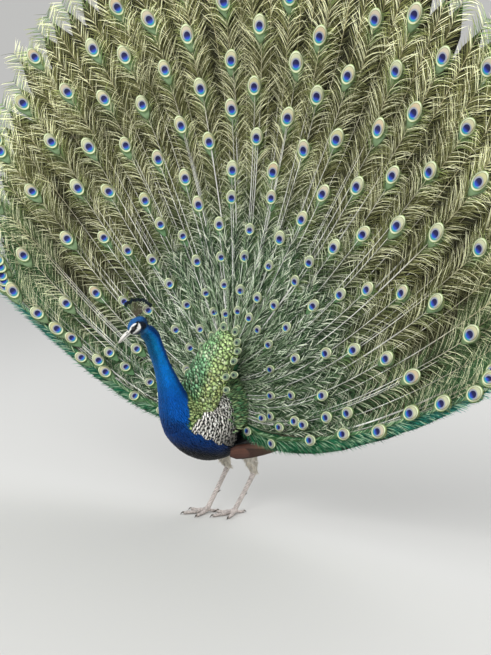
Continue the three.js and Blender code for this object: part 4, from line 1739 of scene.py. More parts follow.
@dataclass
class Train:
    """The eyed feathers in staggered rings, forked ones past them, and swords below."""

    # radius of each ring at the fan's middle; the rings widen towards its sides
    rings: tuple = (
        0.150, 0.232, 0.335, 0.430, 0.525, 0.618, 0.710, 0.800, 0.890, 0.978, 1.065, 1.150, 1.230
    )
    widen: float = 0.165  # how much further out a ring lies at 60 degrees
    filled: float = 0.965  # how much of the fan's angle a ring fills
    border: tuple = (  # place and reach of single ones along the lower edges
        (0.935, 0.225), (0.950, 0.320), (0.958, 0.355), (0.955, 0.440),
        (-0.955, 0.330), (-0.960, 0.440), (-0.982, 0.56), (-0.984, 0.69),
    )
    step: tuple = (18.5, 14.6)  # degrees between feathers in the first and the last ring
    eye_reach: tuple = (0.15, 0.25, 0.36, 0.65, 0.90, 1.25)
    eye_half: tuple = (0.0148, 0.0162, 0.0180, 0.0212, 0.0232, 0.0240)  # at those reaches
    tip_room: float = 0.105  # from the last eyes to the rim
    forked: int = 50
    swords: tuple = (0.27, 1.04, 11)  # reach of the shortest and the longest, and how many
    sword_places: tuple = ((-0.990, -1.001), (0.985, 0.999))  # of the same
    # reach and number of each row of short feathers
    covers: tuple = ((0.07, 14), (0.115, 24), (0.18, 26), (0.26, 30), (0.35, 32), (0.44, 34))
    # The ribbons behind the barbs are dark sheets: painted shade for the gaps between barbs.
    shade_web_half: float = 0.046  # the ribbons' widest half width
    shade_web_end: float = 0.085  # how far they end before their feathers
    eye_clear: float = 0.0142  # how far the eyespots stand in front of their feathers
    barb_room: float = 0.34  # the length below an eye where its barbs stand close
    close: float = 0.0029  # from barb to barb there
    loose: float = 0.0063  # and below
    DENSITY = {Plume.EYED: 1.0, Plume.FORKED: 1.45, Plume.SWORD: 1.3, Plume.COVER: 1.95}
    EYE_TINTS = ("#7a9273", "#d3cea6", "#d2bf9c", "#cdd0ab", "#c9c795", "#d0c4aa")
    ACROSS = np.array([-1.0, -0.55, 0.0, 0.55, 1.0, 0.0])  # a plate's ring: its front, then its back

    def spread(self, reach: float, step: float, ring: int) -> Array:
        """Angles evenly over the fan; odd rings lie half a step between, with both ends."""
        limit = self.filled * FAN.angle(1.0, reach)
        count = round(2 * limit / step)
        even = np.linspace(-limit, limit, count + 1)
        if ring % 2 == 0:
            return even
        return np.concatenate([even[:1], (even[1:] + even[:-1]) / 2, even[-1:]])

    def eyed(self) -> Feathers:
        """Rings of eyed feathers, each staggered by half a step from the last."""
        rng = np.random.default_rng(11)
        place, reach = [], []
        for index, radius in enumerate(self.rings):
            share = index / (len(self.rings) - 1)
            step = self.step[0] + (self.step[1] - self.step[0]) * share
            angle = self.spread(radius * (1 + self.widen), step, index)
            angle = angle + rng.uniform(-1.6, 1.6, len(angle))
            far = radius * (1 + self.widen * np.clip(np.abs(angle) / 60, 0, 1.15) ** 2)
            far = far + rng.uniform(-0.013, 0.013, len(angle))
            spot = np.array([FAN.place_at(one, end) for one, end in zip(angle, far)])
            room = self.tip_room * (1.0 - 0.55 * np.abs(spot) ** 6)
            place.append(spot)
            reach.append(np.minimum(far, FAN.limit(spot) - room))
        place.append(np.array(self.border)[:, 0])
        reach.append(np.array(self.border)[:, 1])
        place, reach = np.concatenate(place), np.concatenate(reach)
        size = np.interp(reach, self.eye_reach, self.eye_half) * rng.uniform(0.93, 1.05, len(reach))
        return Feathers(Plume.EYED, place, reach, size)

    def forks(self) -> Feathers:
        """The longest feathers, without eyes, whose ends fork."""
        rng = np.random.default_rng(12)
        limit = 0.97 * FAN.angle(1.0, 1.15)
        angle = np.linspace(-limit, limit, self.forked)
        place = FAN.place_at(angle + rng.uniform(-0.6, 0.6, len(angle)), 1.15)
        reach = FAN.limit(place) - rng.uniform(0.035, 0.085, len(place))
        return Feathers(Plume.FORKED, place, reach)

    def blades(self) -> Feathers:
        """The sword feathers along both lower edges, one behind the other."""
        start, end, count = self.swords
        place = np.concatenate([np.linspace(*ends, count) for ends in self.sword_places])
        reach = np.minimum(np.tile(np.linspace(start, end, count), 2), FAN.limit(place) - 0.01)
        return Feathers(Plume.SWORD, place, reach)

    def green(self) -> Feathers:
        """Short emerald feathers that cover the roots of the long ones."""
        rng = np.random.default_rng(13)
        place, reach = [], []
        for radius, count in self.covers:
            limit = FAN.angle(1.0, radius)
            angle = np.linspace(-limit, limit, count) + rng.uniform(-3, 3, count)
            place.append(FAN.place_at(angle, radius))
            reach.append(radius + rng.uniform(-0.02, 0.02, count))
        return Feathers(Plume.COVER, np.concatenate(place), np.concatenate(reach))

    def shafts(self, feathers: Feathers) -> Cloud:
        """Each feather's shaft: a blade from the rump to its end, thinner outwards.

        Half width = 0.0020 - 0.0011 t, which short feathers have less of.

        Args:
            feathers: feathers of any kind.

        Returns:
            The shafts as blades.
        """
        share, start = np.linspace(0, 1, 23), 0.05
        end = feathers.reach - 0.2 * feathers.size
        reach = start + (end - start)[:, None] * share
        path, _, across, front = FAN.basis(feathers.place[:, None], reach, feathers.depth()[:, None])
        thin = 0.6 if feathers.kind is Plume.COVER else 1.0
        half = thin * (0.0020 - 0.0011 * share[:-1]) * np.ones((len(path), 1))
        tint = washed("#fbfaf4", ("#c4bb93", ramp(reach, 0.60, 1.05)))
        # Each shaft is brighter and darker at random along its length: painted glints.
        tint = tint * np.random.default_rng(18).uniform(0.60, 1.40, reach.shape)[..., None]
        if feathers.kind is Plume.COVER:
            tint = tint * srgb("#a9c3a0")
        # four in five stand in front of the barbs
        clear = np.where(np.arange(len(path)) % 5 < 4, 0.0092, 0.0005)[:, None]
        clear = clear * ramp(reach, 0.95, 0.60)
        if feathers.kind is Plume.SWORD:
            tint, clear = tint * srgb("#6f8f68"), 0 * clear
        path = path + front * clear[..., None]
        root = FAN.unwrap(feathers.place, feathers.reach * 0.5)
        return blades(path, across[:, :-1], front[:, :-1], half, 1.5 * half, tint, root)

    def room(self, place: Array, reach: Array) -> Array:
        """How far a place lies from the fan's lower border, along an arc at its reach."""
        return np.radians(FAN.angle(1.0, reach) - FAN.angle(np.abs(place), reach)) * reach

    def webs(self, feathers: Feathers, seed: int) -> Cloud:
        """A dark ribbon behind each feather's barbs: painted shade for the gaps between them.

        Half width = min(0.012 + 0.10 * reach, widest) * (1 - 0.35 t ** 8), and never
        more than the room to the fan's lower border.

        Args:
            feathers: eyed or forked feathers, or swords.
            seed: for the small unevenness.

        Returns:
            The ribbons.
        """
        rng = np.random.default_rng(seed)
        kind, share = feathers.kind, np.linspace(0, 1, 19)
        place, count = feathers.place[:, None], len(feathers.place)
        start = 0.10 if kind is Plume.SWORD else 0.0
        short = 1 - {Plume.FORKED: 0.6, Plume.SWORD: 0.7}.get(kind, 0.0)
        reach = start + (feathers.reach[:, None] - short * self.shade_web_end - start) * share
        depth = feathers.depth()[:, None] + 0.004 + rng.uniform(0, 0.004, (count, 1))
        path, _, across, front = FAN.basis(place, reach, depth)
        half = np.minimum(0.012 + 0.10 * reach, self.shade_web_half) * (1 - 0.35 * share**8)
        if kind is Plume.FORKED:
            half = 1.40 * half * (1 - 0.9 * share**22)
        half = half * rng.uniform(0.85, 1.1, half.shape)
        half = np.clip(half, 0.0005, np.maximum(self.room(place, reach) - 0.004, 0.0005))[:, :-1]
        # The ribbons' painted shade: dark olive, deep green towards the root, and a lighter green at
        # the root itself, painted light where it lies in shadow.
        green = ("#1f3d29", ramp(reach, 0.62, 0.20)), ("#3f7a50", ramp(reach, 0.22, 0.08))
        tint = washed("#33331e", *green)
        if kind is Plume.SWORD:
            half = 0.019 * (1 - 0.7 * share[:-1] ** 6) * rng.uniform(0.85, 1.1, half.shape)
            last = ramp(feathers.reach[:, None] - reach, 0.42, 0.30)
            tint = mix(tint, washed("#1d6b45", ("#2c8470", ramp(reach, 0.35, 1.0))), last)
        tint = tint * np.exp(rng.normal(0, 0.25, (count, 1)))[..., None]
        root = FAN.unwrap(feathers.place, feathers.reach * 0.37)
        thin = np.full_like(half, 0.0006)
        return blades(path, across[:, :-1], front[:, :-1], half, thin, tint, root)

    def barbs(self, feathers: Feathers, seed: int) -> Cloud:
        """The barbs of some feathers, close together near the end and loose below.

        A barb leaves the shaft at an angle and bends: its path is the running sum of
        step * (cos a, sin a) with a = start + bend * share, and its end hangs a little.

        Args:
            feathers: the feathers.
            seed: for the small unevenness.

        Returns:
            The barbs as blades.
        """
        rng = np.random.default_rng(seed)
        kind, end = feathers.kind, feathers.reach
        close, loose = self.close * self.DENSITY[kind], self.loose * self.DENSITY[kind]
        middle = np.maximum(end - self.barb_room, 0.03 if kind is Plume.COVER else 0.10)
        start = np.full_like(middle, 0.12)
        if kind is Plume.FORKED:
            start = np.maximum(middle - 0.30, start)
        near = np.maximum(((end - middle) / close).astype(int), 4)
        far = np.maximum(((middle - start - 0.01) / loose).astype(int), 0)
        clouds = []
        for counts, low, high, tight in ((near, middle, end, True), (far, start, middle, False)):
            if not counts.any():
                continue
            owner = np.repeat(np.arange(len(counts)), counts)
            order = np.arange(counts.sum()) - np.repeat(np.cumsum(counts) - counts, counts)
            share = (order + rng.uniform(0, 1, len(owner))) / counts[owner]
            root = np.tile(low[owner] + (high - low)[owner] * share, 2)
            side = np.repeat([-1.0, 1.0], len(owner))
            clouds.append(self.barb_set(feathers, np.tile(owner, 2), root, side, tight, rng))
        return Cloud.join(clouds)

    def barb_shape(self, kind: Plume, below: Array, clump: Array, uneven: Array) -> Sequence[Array]:
        """A barb's angle off the shaft and bend, both in degrees, and its length.

        Args:
            kind: the feather's kind.
            below: how far each barb starts below its feather's end.
            clump: -1 to 1, the same for barbs that stand together.
            uneven: random numbers, a row for each of the three.

        Returns:
            Angles, bends and lengths.
        """
        if kind is Plume.SWORD:
            length = 0.048 * (0.35 + 0.65 * ramp(below, -0.01, 0.06)) * (1 + 0.06 * uneven[2])
            return 21 + 3 * uneven[0], 8 + 5 * uneven[1], length
        if kind is Plume.COVER:
            length = 0.052 * (0.45 + 0.55 * ramp(below, -0.01, 0.05)) * (1 + 0.08 * uneven[2])
            return 20 + 6 * uneven[0], 6 + 7 * uneven[1], length
        if kind is Plume.FORKED:
            angle = 31 + 26 * ramp(below, 0.12, 0.0) + 4 * uneven[0] + 6 * clump
            length = (0.070 - 0.012 * ramp(below, 0.06, 0.0)) * (1 + 0.08 * uneven[2])
            return angle, 10 + 9 * uneven[1], length
        angle = 26 + 9 * ramp(below, 0.02, 0.30) + 5 * uneven[0] + 6 * clump
        bend = 14 + 44 * ramp(below, 0.20, 0.03) + 12 * uneven[1]
        return angle, bend, (0.064 + 0.026 * ramp(below, 0.0, 0.10)) * (1 + 0.12 * uneven[2])

    def barb_set(
        self, feathers: Feathers, owner: Array, root: Array, side: Array, tight: bool,
        rng: np.random.Generator,
    ) -> Cloud:
        """One set of barbs.

        Args:
            feathers: the feathers.
            owner: the feather of each barb.
            root: how far along its shaft each starts.
            side: the side of the shaft, -1 or 1.
            tight: whether they stand close together.
            rng: for the small unevenness.

        Returns:
            The barbs as blades.
        """
        kind, place = feathers.kind, feathers.place[owner]
        below = feathers.reach[owner] - root
        point, along, across, front = FAN.basis(place, root, feathers.depth()[owner])
        uneven = rng.normal(0, 1, (6, len(owner)))
        clump = np.sin(2 * np.pi * root / 0.019 + owner * 2.1 + side)
        outer = side * np.sign(place) < 0
        angle, bend, length = self.barb_shape(kind, below, clump, uneven)
        if kind is Plume.EYED:
            length = length * feathers.size[owner] / 0.0215
        if kind is Plume.SWORD:
            length = np.where(outer, length, 0.75 * length)
        if not tight:
            angle = angle + 6
            length = np.minimum(length, 0.045 + 0.035 * ramp(root, 0.1, 0.5))
        angle, bend = np.radians(angle), np.radians(bend)
        if kind is not Plume.SWORD:
            wide = length * np.sin(angle + bend / 2)
            room = self.room(place, root + 0.5 * length) - 0.004
            length = np.where(outer, length * np.clip(room / wide, 0.3, 1), length)
        steps = 3 if tight and kind is not Plume.COVER else 2
        turn = angle[:, None] + bend[:, None] * (np.arange(steps) + 0.5) / steps
        stride = np.stack([np.cos(turn), side[:, None] * np.sin(turn)], -1)
        stride = stride * length[:, None, None] / steps
        travel = np.pad(np.cumsum(stride, 1), ((0, 0), (1, 0), (0, 0)))
        done = np.linspace(0, 1, steps + 1)
        lift = (0.0035 if tight else 0.0056) * np.outer(uneven[3], done**1.5)
        path = point[:, None] + travel @ np.stack([along, across], 1)
        path = path + front[:, None] * lift[..., None]
        path = path - UP * np.outer(0.05 * length, done**2)[..., None]
        sideways = unit(np.cross(front[:, None], unit(np.diff(path, axis=1))))
        thick = {Plume.EYED: 1.0, Plume.FORKED: 1.15}.get(kind, 1.35) * (0.00076 if tight else 0.0011)
        bold = np.exp(0.18 * uneven[4] + 0.25 * (uneven[5] > 0.7))
        half = thick * np.outer(bold, 1 - 0.55 * done[:-1])
        light = 0.85 * uneven[5] + 0.55 * clump
        tint = self.barb_tint(kind, root, below, done, light, outer, place, tight)
        return blades(path, sideways, front[:, None], half, 0.55 * half, tint, FAN.unwrap(place, root))

    def barb_tint(
        self, kind: Plume, root: Array, below: Array, done: Array, uneven: Array, outer: Array,
        place: Array, tight: bool,
    ) -> Array:
        """Barb colours: green near the back, olive further out, pale and yellow by the eye, with
        painted shade and glints.

        Args:
            kind: the feather's kind.
            root: how far along the shaft each barb starts.
            below: how far it starts below its feather's end.
            done: the rows' places along a barb, 0 to 1.
            uneven: how bright each is.
            outer: whether it points to the fan's lower border.
            place: the feather's place on the fan.
            tight: whether the barbs stand close together.

        Returns:
            A colour for each barb and row.
        """
        root, below, uneven = root[:, None], below[:, None], uneven[:, None]
        sage, emerald = "#82b06c", "#17804f"
        olive, moss = "#8f9058", ("#557c52", ramp(root, 0.70, 0.30))
        if kind is Plume.COVER:
            tips = "#9fb98a", 0.45 * done**2
            shade = washed("#3b6c48", ("#6f8b5b", ramp(uneven, -1.0, 1.6)), tips)
        elif kind is Plume.SWORD:
            shade = washed(emerald, ("#2f978a", ramp(root, 0.35, 1.0)), (sage, 0.5 * ~outer[:, None]))
        elif tight:
            shade = washed(
                olive,
                moss,
                ("#c9d683", 0.75 * ramp(below, 0.13, 0.0) * (0.35 + 0.65 * done)),
                (sage, 0.85 * ramp(below, 0.12, 0.045) * ramp(done, 0.75, 0.2)),
                (emerald, 0.7 * ramp(np.abs(place), 0.86, 0.99)[:, None]),
            )
        else:
            # Loose barbs further in are darkened 0.72 towards olive brown: painted shade, as they lie
            # behind the close ones.
            shade = washed(olive, moss, ("#4f5034", np.full_like(root, 0.72)))
        # Some barbs, at random, are mixed towards pale cream: painted glints.
        bright = washed("#dbe2cc", ("#f3f2c8", ramp(root, 0.30, 0.70)))
        faint = (0.45 if kind is Plume.SWORD else 1.0) * (0.90 if tight else 0.35)
        shade = mix(shade, bright, faint * ramp(uneven, 0.60, 0.85))
        rough = 0.95 if kind is Plume.COVER else 0.62
        light = np.exp(rough * np.minimum(uneven, 0.85)) * (0.62 + 0.46 * done)
        light = light * (1 + 0.48 * ramp(root, 0.92, 1.20))
        return shade * light[..., None]

    def plates(
        self, frames: Sequence[Array], width: Array, rise: Array, reach: Array, height: float,
        dome: float,
    ) -> tuple[Array, Array]:
        """Thin domed plates: spot + aside * width * across + along * reach * rise + front * height.

        Args:
            frames: their middles and unit vectors aside, along and to the front, (count, 3) each.
            width: half width of each at each row, (count, rows).
            rise: the rows' places along, -1 to 1.
            reach: half length of each, (count,).
            height: how far each stands in front.
            dome: how far its middle stands out more.

        Returns:
            Rings and tips.
        """
        bulge = np.array([0.0, 0.75, 1.0, 0.75, 0.0, -0.5])
        spot, aside, along, front = (part[:, None, None] for part in frames)
        shape = (width / width.max(1, keepdims=True))[..., None]
        rings = (
            spot
            + aside * (width[..., None] * self.ACROSS)[..., None]
            + along * (reach[:, None] * rise)[..., None, None]
            + front * (height + dome * shape * bulge)[..., None]
        )
        return rings, frames[0] + frames[2] * reach[:, None] + frames[3] * height

    def frames(self, spots: Array, along: Array, front: Array, seed: int) -> Sequence[Array]:
        """The plates' middles and unit vectors, each turned a little out of line."""
        rng = np.random.default_rng(seed)
        tilt = rng.normal(0, 0.09, (3, len(spots), 1))
        aside = np.cross(front, along)
        front = unit(front + along * tilt[0] + aside * tilt[1])
        along = unit(along + aside * tilt[2])
        along = unit(along - front * np.sum(along * front, -1, keepdims=True))
        return spots, np.cross(along, front), along, front

    def eyes(self, frames: Sequence[Array], size: Array, green: bool, seed: int) -> Cloud:
        """The eyespots: an egg of half width w sqrt(1 - y y) (1 - 0.13 y), domed to the front.

        Args:
            frames: their middles and unit vectors.
            size: half widths.
            green: whether they have a green middle only.
            seed: for the colours' variety.

        Returns:
            The eyespots; the vane layer holds the place on each.
        """
        rows, count = 12, len(size)
        rise = -np.cos(np.pi * (np.arange(rows) + 0.35) / rows)
        width = np.sqrt(1 - rise**2) * (1 - 0.13 * rise)
        long = (1.12 + 0.30 * ramp(size, 0.0165, 0.0225)) * size
        rings, tips = self.plates(frames, size[:, None] * width, rise, long, self.eye_clear, 0.0016)
        spot = np.stack([np.outer(width, self.ACROSS).ravel(), np.repeat(rise, 6)], -1)
        spot = np.vstack([spot, [[0.0, 1.0]]])
        variety = np.random.default_rng(seed).integers(1, len(self.EYE_TINTS), count)
        tint = np.array([srgb(code) for code in self.EYE_TINTS])
        if green:
            variety = 0 * variety
        inner = 0 if green else 0.85 * ramp(size, 0.0210, 0.0178)
        tint = mix(tint[variety], srgb("#98a58f"), inner + 0 * size)
        cell = np.stack([variety % 3, variety // 3], -1) / 3
        unwrap = cell[:, None] + (0.5 + 0.46 * spot) / 3
        return tubes(rings, tips, tint[:, None], spot, unwrap)

    def sheaths(self, frames: Sequence[Array], eyed: Feathers, seed: int) -> Cloud:
        """The closed web round each eyespot: a drop whose half width is sqrt(1 - y y) (1 + 0.45 y).

        Args:
            frames: the eyespots' middles and unit vectors.
            eyed: the feathers.
            seed: for the small unevenness.

        Returns:
            Drops, sage below the eyespot and yellow-green above it.
        """
        rng = np.random.default_rng(seed)
        rise = -np.cos(np.pi * (np.arange(9) + 0.5) / 9)
        spots, aside, along, front = frames
        frames = spots - along * (0.80 * eyed.size)[:, None], aside, along, front
        full = ramp(eyed.size, 0.017, 0.021)
        wide = (0.80 + 0.22 * full) * eyed.size * rng.uniform(0.9, 1.1, len(full))
        width = wide[:, None] * np.sqrt(1 - rise**2) * (1 + 0.45 * rise)
        long = (1.45 + 0.35 * full) * eyed.size
        rings, tips = self.plates(frames, width, rise, long, 0.0012, 0.0012)
        level = np.append(np.repeat(rise, 6), 1.0)
        tint = washed(
            "#5d7349",
            ("#86a277", ramp(level, -1.0, -0.35)),
            ("#a9b67a", ramp(level, 0.15, 0.85)),
            ("#4c7f4f", 0.75 * ramp(eyed.size, 0.023, 0.018)[:, None]),
        )
        vane = np.stack([np.append(np.tile(self.ACROSS, 9), 0.0), 0.5 + 0.5 * level], -1)
        patch = FAN.unwrap(eyed.place, eyed.reach)[:, None] + PATCH * vane
        return tubes(rings, tips, tint, vane, patch)

    def all_eyes(self, eyed: Feathers) -> tuple[Cloud, Cloud]:
        """The eyes of the train and of the small feathers round the saddle, and the sheaths.

        Args:
            eyed: the train's eyed feathers.

        Returns:
            All eyespots, and the closed webs round the train's.
        """
        depth = eyed.depth() - 0.016 * ramp(np.abs(eyed.place), 0.86, 0.93)
        point, along, aside, front = FAN.basis(eyed.place, eyed.reach, depth)
        twist = np.radians(30 - 18 * ramp(eyed.place, -0.1, 0.6))[:, None]
        frames = self.frames(point, along, front * np.cos(twist) - aside * np.sin(twist), 14)
        train = self.eyes(frames, eyed.size, False, 19)
        rng = np.random.default_rng(15)
        rise = np.concatenate([np.linspace(0.30, 0.97, 8), [0.985], np.linspace(0.93, 0.24, 9)])
        turn = np.repeat([0.27, 0.0, 0.73], [8, 1, 9])
        rise = rise + rng.uniform(-0.035, 0.035, len(rise))
        turn = turn + rng.uniform(-0.05, 0.03, len(turn)) * np.sign(turn - 0.5)
        point, normal, course = SADDLE.basis(rise, turn, 0.0)
        ahead = unit(np.array([0.30, -0.90, 0.20])) * np.ones_like(point)
        outward = unit(normal + course * rng.uniform(0.3, 1.0, (len(rise), 1)))
        outward = unit(outward - ahead * np.sum(outward * ahead, -1, keepdims=True))
        spots = point + outward * rng.uniform(0.012, 0.030, (len(rise), 1)) + ahead * 0.007
        size = (0.0122 + 0.0020 * rise) * rng.uniform(0.82, 1.12, len(rise))
        ring = self.eyes(self.frames(spots, outward, ahead, 16), size, True, 17)
        return Cloud.join([train, ring]), self.sheaths(frames, eyed, 37)

    def eye_material(self) -> Material:
        """Rings of an eyespot on the feather's own coordinates: x across, y along."""
        paint = Painter(Finish("train_eye", roughness=0.42, metallic=0.15, specular=0.4))
        across, wide, along = paint.vane()

        def egg(middle: float, half: float, high: float) -> Socket:
            """Distance from a middle, 1 on the edge of an ellipse."""
            left = paint.sum("DIVIDE", across, half)
            rise = paint.sum("DIVIDE", paint.sum("SUBTRACT", along, middle), high)
            squares = (paint.sum("MULTIPLY", side, side) for side in (left, rise))
            return paint.sum("SQRT", paint.sum("ADD", *squares))

        whole = egg(0.0, 1.0, 1.0)
        core = egg(-0.17, 0.46, 0.40)
        pool = egg(-0.20, 0.66, 0.55)
        inner = paint.tint()
        red, _, _ = paint.split(inner)
        plain = paint.between(red, 0.235, 0.225)
        bronze = paint.blend(paint.between(along, 0.55, -0.3), inner, srgb("#b3a27c"))
        glow = paint.blend(paint.between(along, -0.30, -0.60), srgb("#9ea3b0"), srgb("#2d9fae"))
        colour = paint.blend(paint.between(pool, 1.10, 0.92), bronze, glow)
        blue = paint.blend(paint.between(along, -0.58, -0.12), srgb("#2f58dc"), srgb("#0c0a4c"))
        colour = paint.blend(paint.between(core, 1.08, 0.90), colour, blue)
        centre = paint.blend(paint.between(core, 0.95, 0.55), inner, srgb("#13243a"))
        colour = paint.blend(plain, colour, centre)
        for start, end, code in (
            (0.72, 0.77, "#7f8a4b"), (0.77, 0.81, "#e8f0c8"), (0.92, 0.98, "#a0c464")
        ):
            colour = paint.blend(paint.between(whole, start, end), colour, srgb(code))
        barbs = paint.barbs(along, wide, 60.0)
        return paint.finish(paint.shaded(colour, paint.line(barbs, 0.07, 1.0)), barbs, 0.00012)

    def shade_web_material(self) -> Material:
        """Fine slanted barbs on the ribbons of painted shade, light and dark in turn."""
        paint = Painter(Finish("train_shade_web", roughness=0.6, metallic=0.1, specular=0.3))
        _, wide, rise = paint.vane()
        slant = paint.line(wide, -30.0, paint.sum("MULTIPLY", rise, 1500.0))
        wave = paint.noise(paint.place(), 45.0, 3.0)
        lines = paint.sum("SINE", paint.line(wave, 22.0, slant))
        light = paint.line(lines, 0.35, paint.line(wave, 1.4, 0.25))
        _, facing, _ = paint.split(paint.node("NewGeometry", {}).outputs["Normal"])
        quill = paint.between(wide, 0.075, 0.045)
        back = paint.blend(quill, srgb("#857a62"), srgb("#d8cfba"))
        colour = paint.blend(paint.between(facing, 0.0, 0.2), paint.tint(), back)
        return paint.finish(paint.shaded(colour, light), lines, 0.0003)

    def barb_material(self) -> Material:
        """Barbs and shafts: their tint, patchy over the fan, with a soft gloss."""
        paint = Painter(Finish("train_barb", roughness=0.45, metallic=0.12, specular=0.45))
        return paint.tinted(paint.line(paint.noise(paint.place(), 9.0), 0.6, 0.7))

    def build(self) -> None:
        """Make the train's pieces."""
        material = self.barb_material()
        eyed, forks, swords, green = self.eyed(), self.forks(), self.blades(), self.green()
        shafts = Cloud.join([self.shafts(kind) for kind in (eyed, forks, swords, green)])
        solids = [f"train_{index:02d}" for index in range(1, 19)]
        shafts.piece("train_shafts", material, "train_feathers", *solids)
        # Ribbons behind the barbs: painted shade for the gaps between them.
        webs = Cloud.join([self.webs(eyed, 34), self.webs(forks, 35), self.webs(swords, 36)])
        webs.piece("train_shade_webs", self.shade_web_material(), "train_feathers")
        order = np.argsort(eyed.reach)
        for index, pick in enumerate(np.array_split(order, 6)):
            cloud = self.barbs(eyed.part(pick), 20 + index)
            cloud.piece(f"train_barbs_{index + 1}", material, "train_feathers")
        self.barbs(forks, 31).piece("train_rim", material, "train_feathers")
        self.barbs(swords, 32).piece("train_swords", material, "train_feathers")
        self.barbs(green, 33).piece("train_covers", material, "train_feathers")
        eyes, sheaths = self.all_eyes(eyed)
        eyes.piece("train_eyes", self.eye_material(), "train_feathers")
        finish = Finish("train_sheath", roughness=0.5, metallic=0.1, specular=0.4)
        sheaths.piece("train_sheaths", feathered(finish, streak=0.30), "train_feathers")


# --- tail and rump


@dataclass
class Prop:
    """The stiff tail that props the train from behind, and the down round its root."""

    feathers: int = 20
    spread: float = 78  # degrees to each side
    root: float = 0.035
    reach: float = 0.418
    shorter: float = 0.06  # how much the outermost lack
    behind: float = 0.019  # the fan
    half: float = 0.030

    def upright(self, path: Array) -> tuple[Array, Array]:
        """Unit vectors across blades and out of their flat side, which faces the back."""
        course = unit(np.gradient(path, axis=1))[:, :-1]
        across = unit(np.cross(AWAY, course))
        return across, np.cross(course, across)

    def quills(self) -> None:
        """Grey-brown feathers: blades along the fan's radii, behind it."""
        rng = np.random.default_rng(101)
        order, count = np.linspace(-1, 1, self.feathers)[:, None], self.feathers
        share = np.append(np.linspace(0, 0.95, 10), 1.0)
        length = self.reach - self.shorter * np.abs(order) - rng.uniform(0, 0.012, (count, 1))
        reach = self.root + (length - self.root) * share
        depth = self.behind + 0.0035 * np.abs(order) + 0.006 * share
        path = FAN.sheet(order * self.spread, reach, depth)
        outline = np.array([0.14, 0.30, 0.50, 0.68, 0.82, 0.93, 1.0, 1.0, 0.90, 0.55])
        half = self.half * outline * np.ones((count, 1))
        tint = washed("#6e665b", ("#857c6e", rng.uniform(0, 1, count)))[:, None]
        patch = np.hstack([0.5 + 0.45 * order, np.full((count, 1), 0.5)])
        cloud = blades(path, *self.upright(path), half, np.full_like(half, 0.0016), tint, patch)
        paint = Painter(Finish("tail_feather", roughness=0.6))
        _, wide, rise = paint.vane()
        barbs = paint.stripes(paint.line(wide, -0.12, rise), 900.0)
        light = paint.line(paint.noise(paint.place(), 70.0, 4.0), 0.7, 0.6)
        light = paint.line(barbs, 0.05, light)
        light = paint.line(paint.between(wide, 0.86, 1.0), -0.25, light)
        material = paint.tinted(light, barbs, 0.0001)
        cloud.piece("tail", material, "tail_feathers", "tail_left", "tail_right")

    def down(self) -> None:
        """Fluffy feathers behind the root of the tail, which point out and down."""
        rng = np.random.default_rng(102)
        count = 900
        angle = rng.uniform(0, 360, count)
        ring = rng.uniform(0, 1, count) ** 0.6
        start = FAN.sheet(angle, 0.008 + 0.050 * ring, 0.022 + 0.010 * (1 - ring))
        outward = unit(FAN.sheet(angle, 0.2, 0.05) - FAN.sheet(angle, 0.0, 0.05))
        share = np.append(np.linspace(0, 0.9, 5), 1.0)[:, None]
        length = (0.040 + 0.045 * ring * rng.uniform(0.6, 1.1, count))[:, None, None]
        bow = (rng.uniform(0.006, 0.030, count) * (1.2 - ring))[:, None, None]
        path = start[:, None] + outward[:, None] * length * share + AWAY * bow * np.sin(share * 2.2)
        path = path - UP * 0.25 * length * share**2
        outline = np.array([0.35, 0.85, 1.0, 0.85, 0.45])
        half = 0.0042 * outline * rng.uniform(0.7, 1.2, (count, 1))
        tint = washed("#8d8374", ("#4b4236", rng.uniform(0, 1, count)))[:, None]
        turn = np.radians(angle)
        patch = 0.5 + 0.4 * ring[:, None] * np.stack([np.cos(turn), np.sin(turn)], -1)
        cloud = blades(path, *self.upright(path), half, 0.35 * half, tint, patch)
        material = feathered(Finish("down", roughness=0.8, sheen=0.3), streak=0.4)
        cloud.piece("rump_down", material, "tail_feathers")

    def build(self) -> None:
        """Make the tail and the down."""
        self.quills()
        self.down()


# --- camera and stage


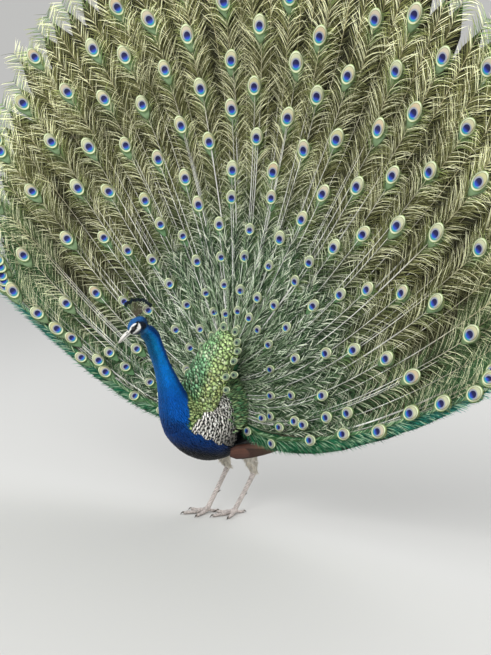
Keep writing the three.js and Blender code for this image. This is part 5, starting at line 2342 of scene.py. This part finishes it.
@dataclass(frozen=True)
class Studio:
    """A pale floor, soft lamps and the camera."""

    camera: tuple = (2.59779, -3.04162, 1.125)  # from the standing point
    heading: float = 39.205
    pitch: float = 7.271
    lens: float = 68.70229  # mm
    sensor: float = 36.0  # mm wide
    floor_size: float = 60.0
    lamp_size: float = 3.0
    lamps: tuple = (
        ("lamp_key", (1.2, -4.2, 3.6), 115.0),
        ("lamp_fill", (-3.6, -2.6, 2.4), 42.0),
        ("lamp_back", (0.5, 3.6, 3.4), 65.0),
    )
    skies: tuple = (((0.95, 0.97, 1.0), 0.80), ((0.53, 0.53, 0.52), 1.0))  # that light, that are seen

    def look(self) -> None:
        """Place the camera."""
        data = bpy.data.cameras.new("camera")
        data.sensor_width = self.sensor
        data.lens = self.lens
        camera = bpy.data.objects.new("camera", data)
        camera.location = STANDING + np.array(self.camera)
        camera.rotation_euler = np.radians([90 - self.pitch, 0.0, self.heading])
        bpy.context.scene.collection.objects.link(camera)
        bpy.context.scene.camera = camera

    def lamp(self, name: str, place: tuple, power: float) -> None:
        """A square soft lamp that faces the bird's middle."""
        data = bpy.data.lights.new(name, "AREA")
        data.size = self.lamp_size
        data.energy = power
        lamp = bpy.data.objects.new(name, data)
        lamp.location = place
        ahead, aside, rise = np.array([0.0, 0.0, 0.7]) - np.array(place)
        tilt = math.atan2(math.hypot(ahead, aside), -rise)
        lamp.rotation_euler = (tilt, 0.0, math.atan2(aside, ahead) - math.pi / 2)
        bpy.context.scene.collection.objects.link(lamp)

    def surround(self) -> None:
        """The world: soft grey light for the bird, near white where the camera sees it."""
        world = bpy.data.worlds.new("surround")
        bpy.context.scene.world = world
        world.use_nodes = True
        tree = world.node_tree
        tree.nodes.clear()
        new, link = tree.nodes.new, tree.links.new
        output, switch = new("ShaderNodeOutputWorld"), new("ShaderNodeMixShader")
        link(switch.outputs[0], output.inputs["Surface"])
        for slot, (colour, strength) in enumerate(self.skies, 1):
            light = new("ShaderNodeBackground")
            light.inputs["Color"].default_value = (*colour, 1.0)
            light.inputs["Strength"].default_value = strength
            link(light.outputs[0], switch.inputs[slot])
        rays = new("ShaderNodeLightPath").outputs
        seen = rays["Is Camera Ray"]
        for kind in ("Is Glossy Ray", "Is Transmission Ray"):
            most = new("ShaderNodeMath")
            most.operation = "MAXIMUM"
            link(seen, most.inputs[0])
            link(rays[kind], most.inputs[1])
            seen = most.outputs[0]
        link(seen, switch.inputs["Fac"])

    def floor(self) -> None:
        """A wide plain floor at z = 0."""
        half = self.floor_size / 2
        mesh = bpy.data.meshes.new("floor")
        corners = [(-half, -half, 0), (half, -half, 0), (half, half, 0), (-half, half, 0)]
        mesh.from_pydata(corners, [], [(0, 1, 2, 3)])
        floor = bpy.data.objects.new("floor", mesh)
        paint = Painter(Finish("floor", roughness=0.9, specular=0.1))
        mesh.materials.append(paint.finish(srgb("#d6d5d1")))
        bpy.context.scene.collection.objects.link(floor)

    def build(self) -> None:
        """Camera, lamps, world, floor and plain colour handling."""
        self.look()
        for name, place, power in self.lamps:
            self.lamp(name, place, power)
        self.surround()
        self.floor()
        bpy.context.scene.view_settings.view_transform = "Standard"


# --- main


def main() -> None:
    """Build the stage and the bird, piece by piece."""
    logging.basicConfig(level=logging.INFO, format="%(name)s %(message)s", stream=sys.stdout)
    Studio().build()
    Plumage().build()
    HeadParts().build()
    for leg, thigh in zip(LEGS, THIGHS):
        leg.build(thigh)
    for side in SIDES:
        WingCoat(side).build()
    Train().build()
    Prop().build()


if __name__ == "__main__":
    main()
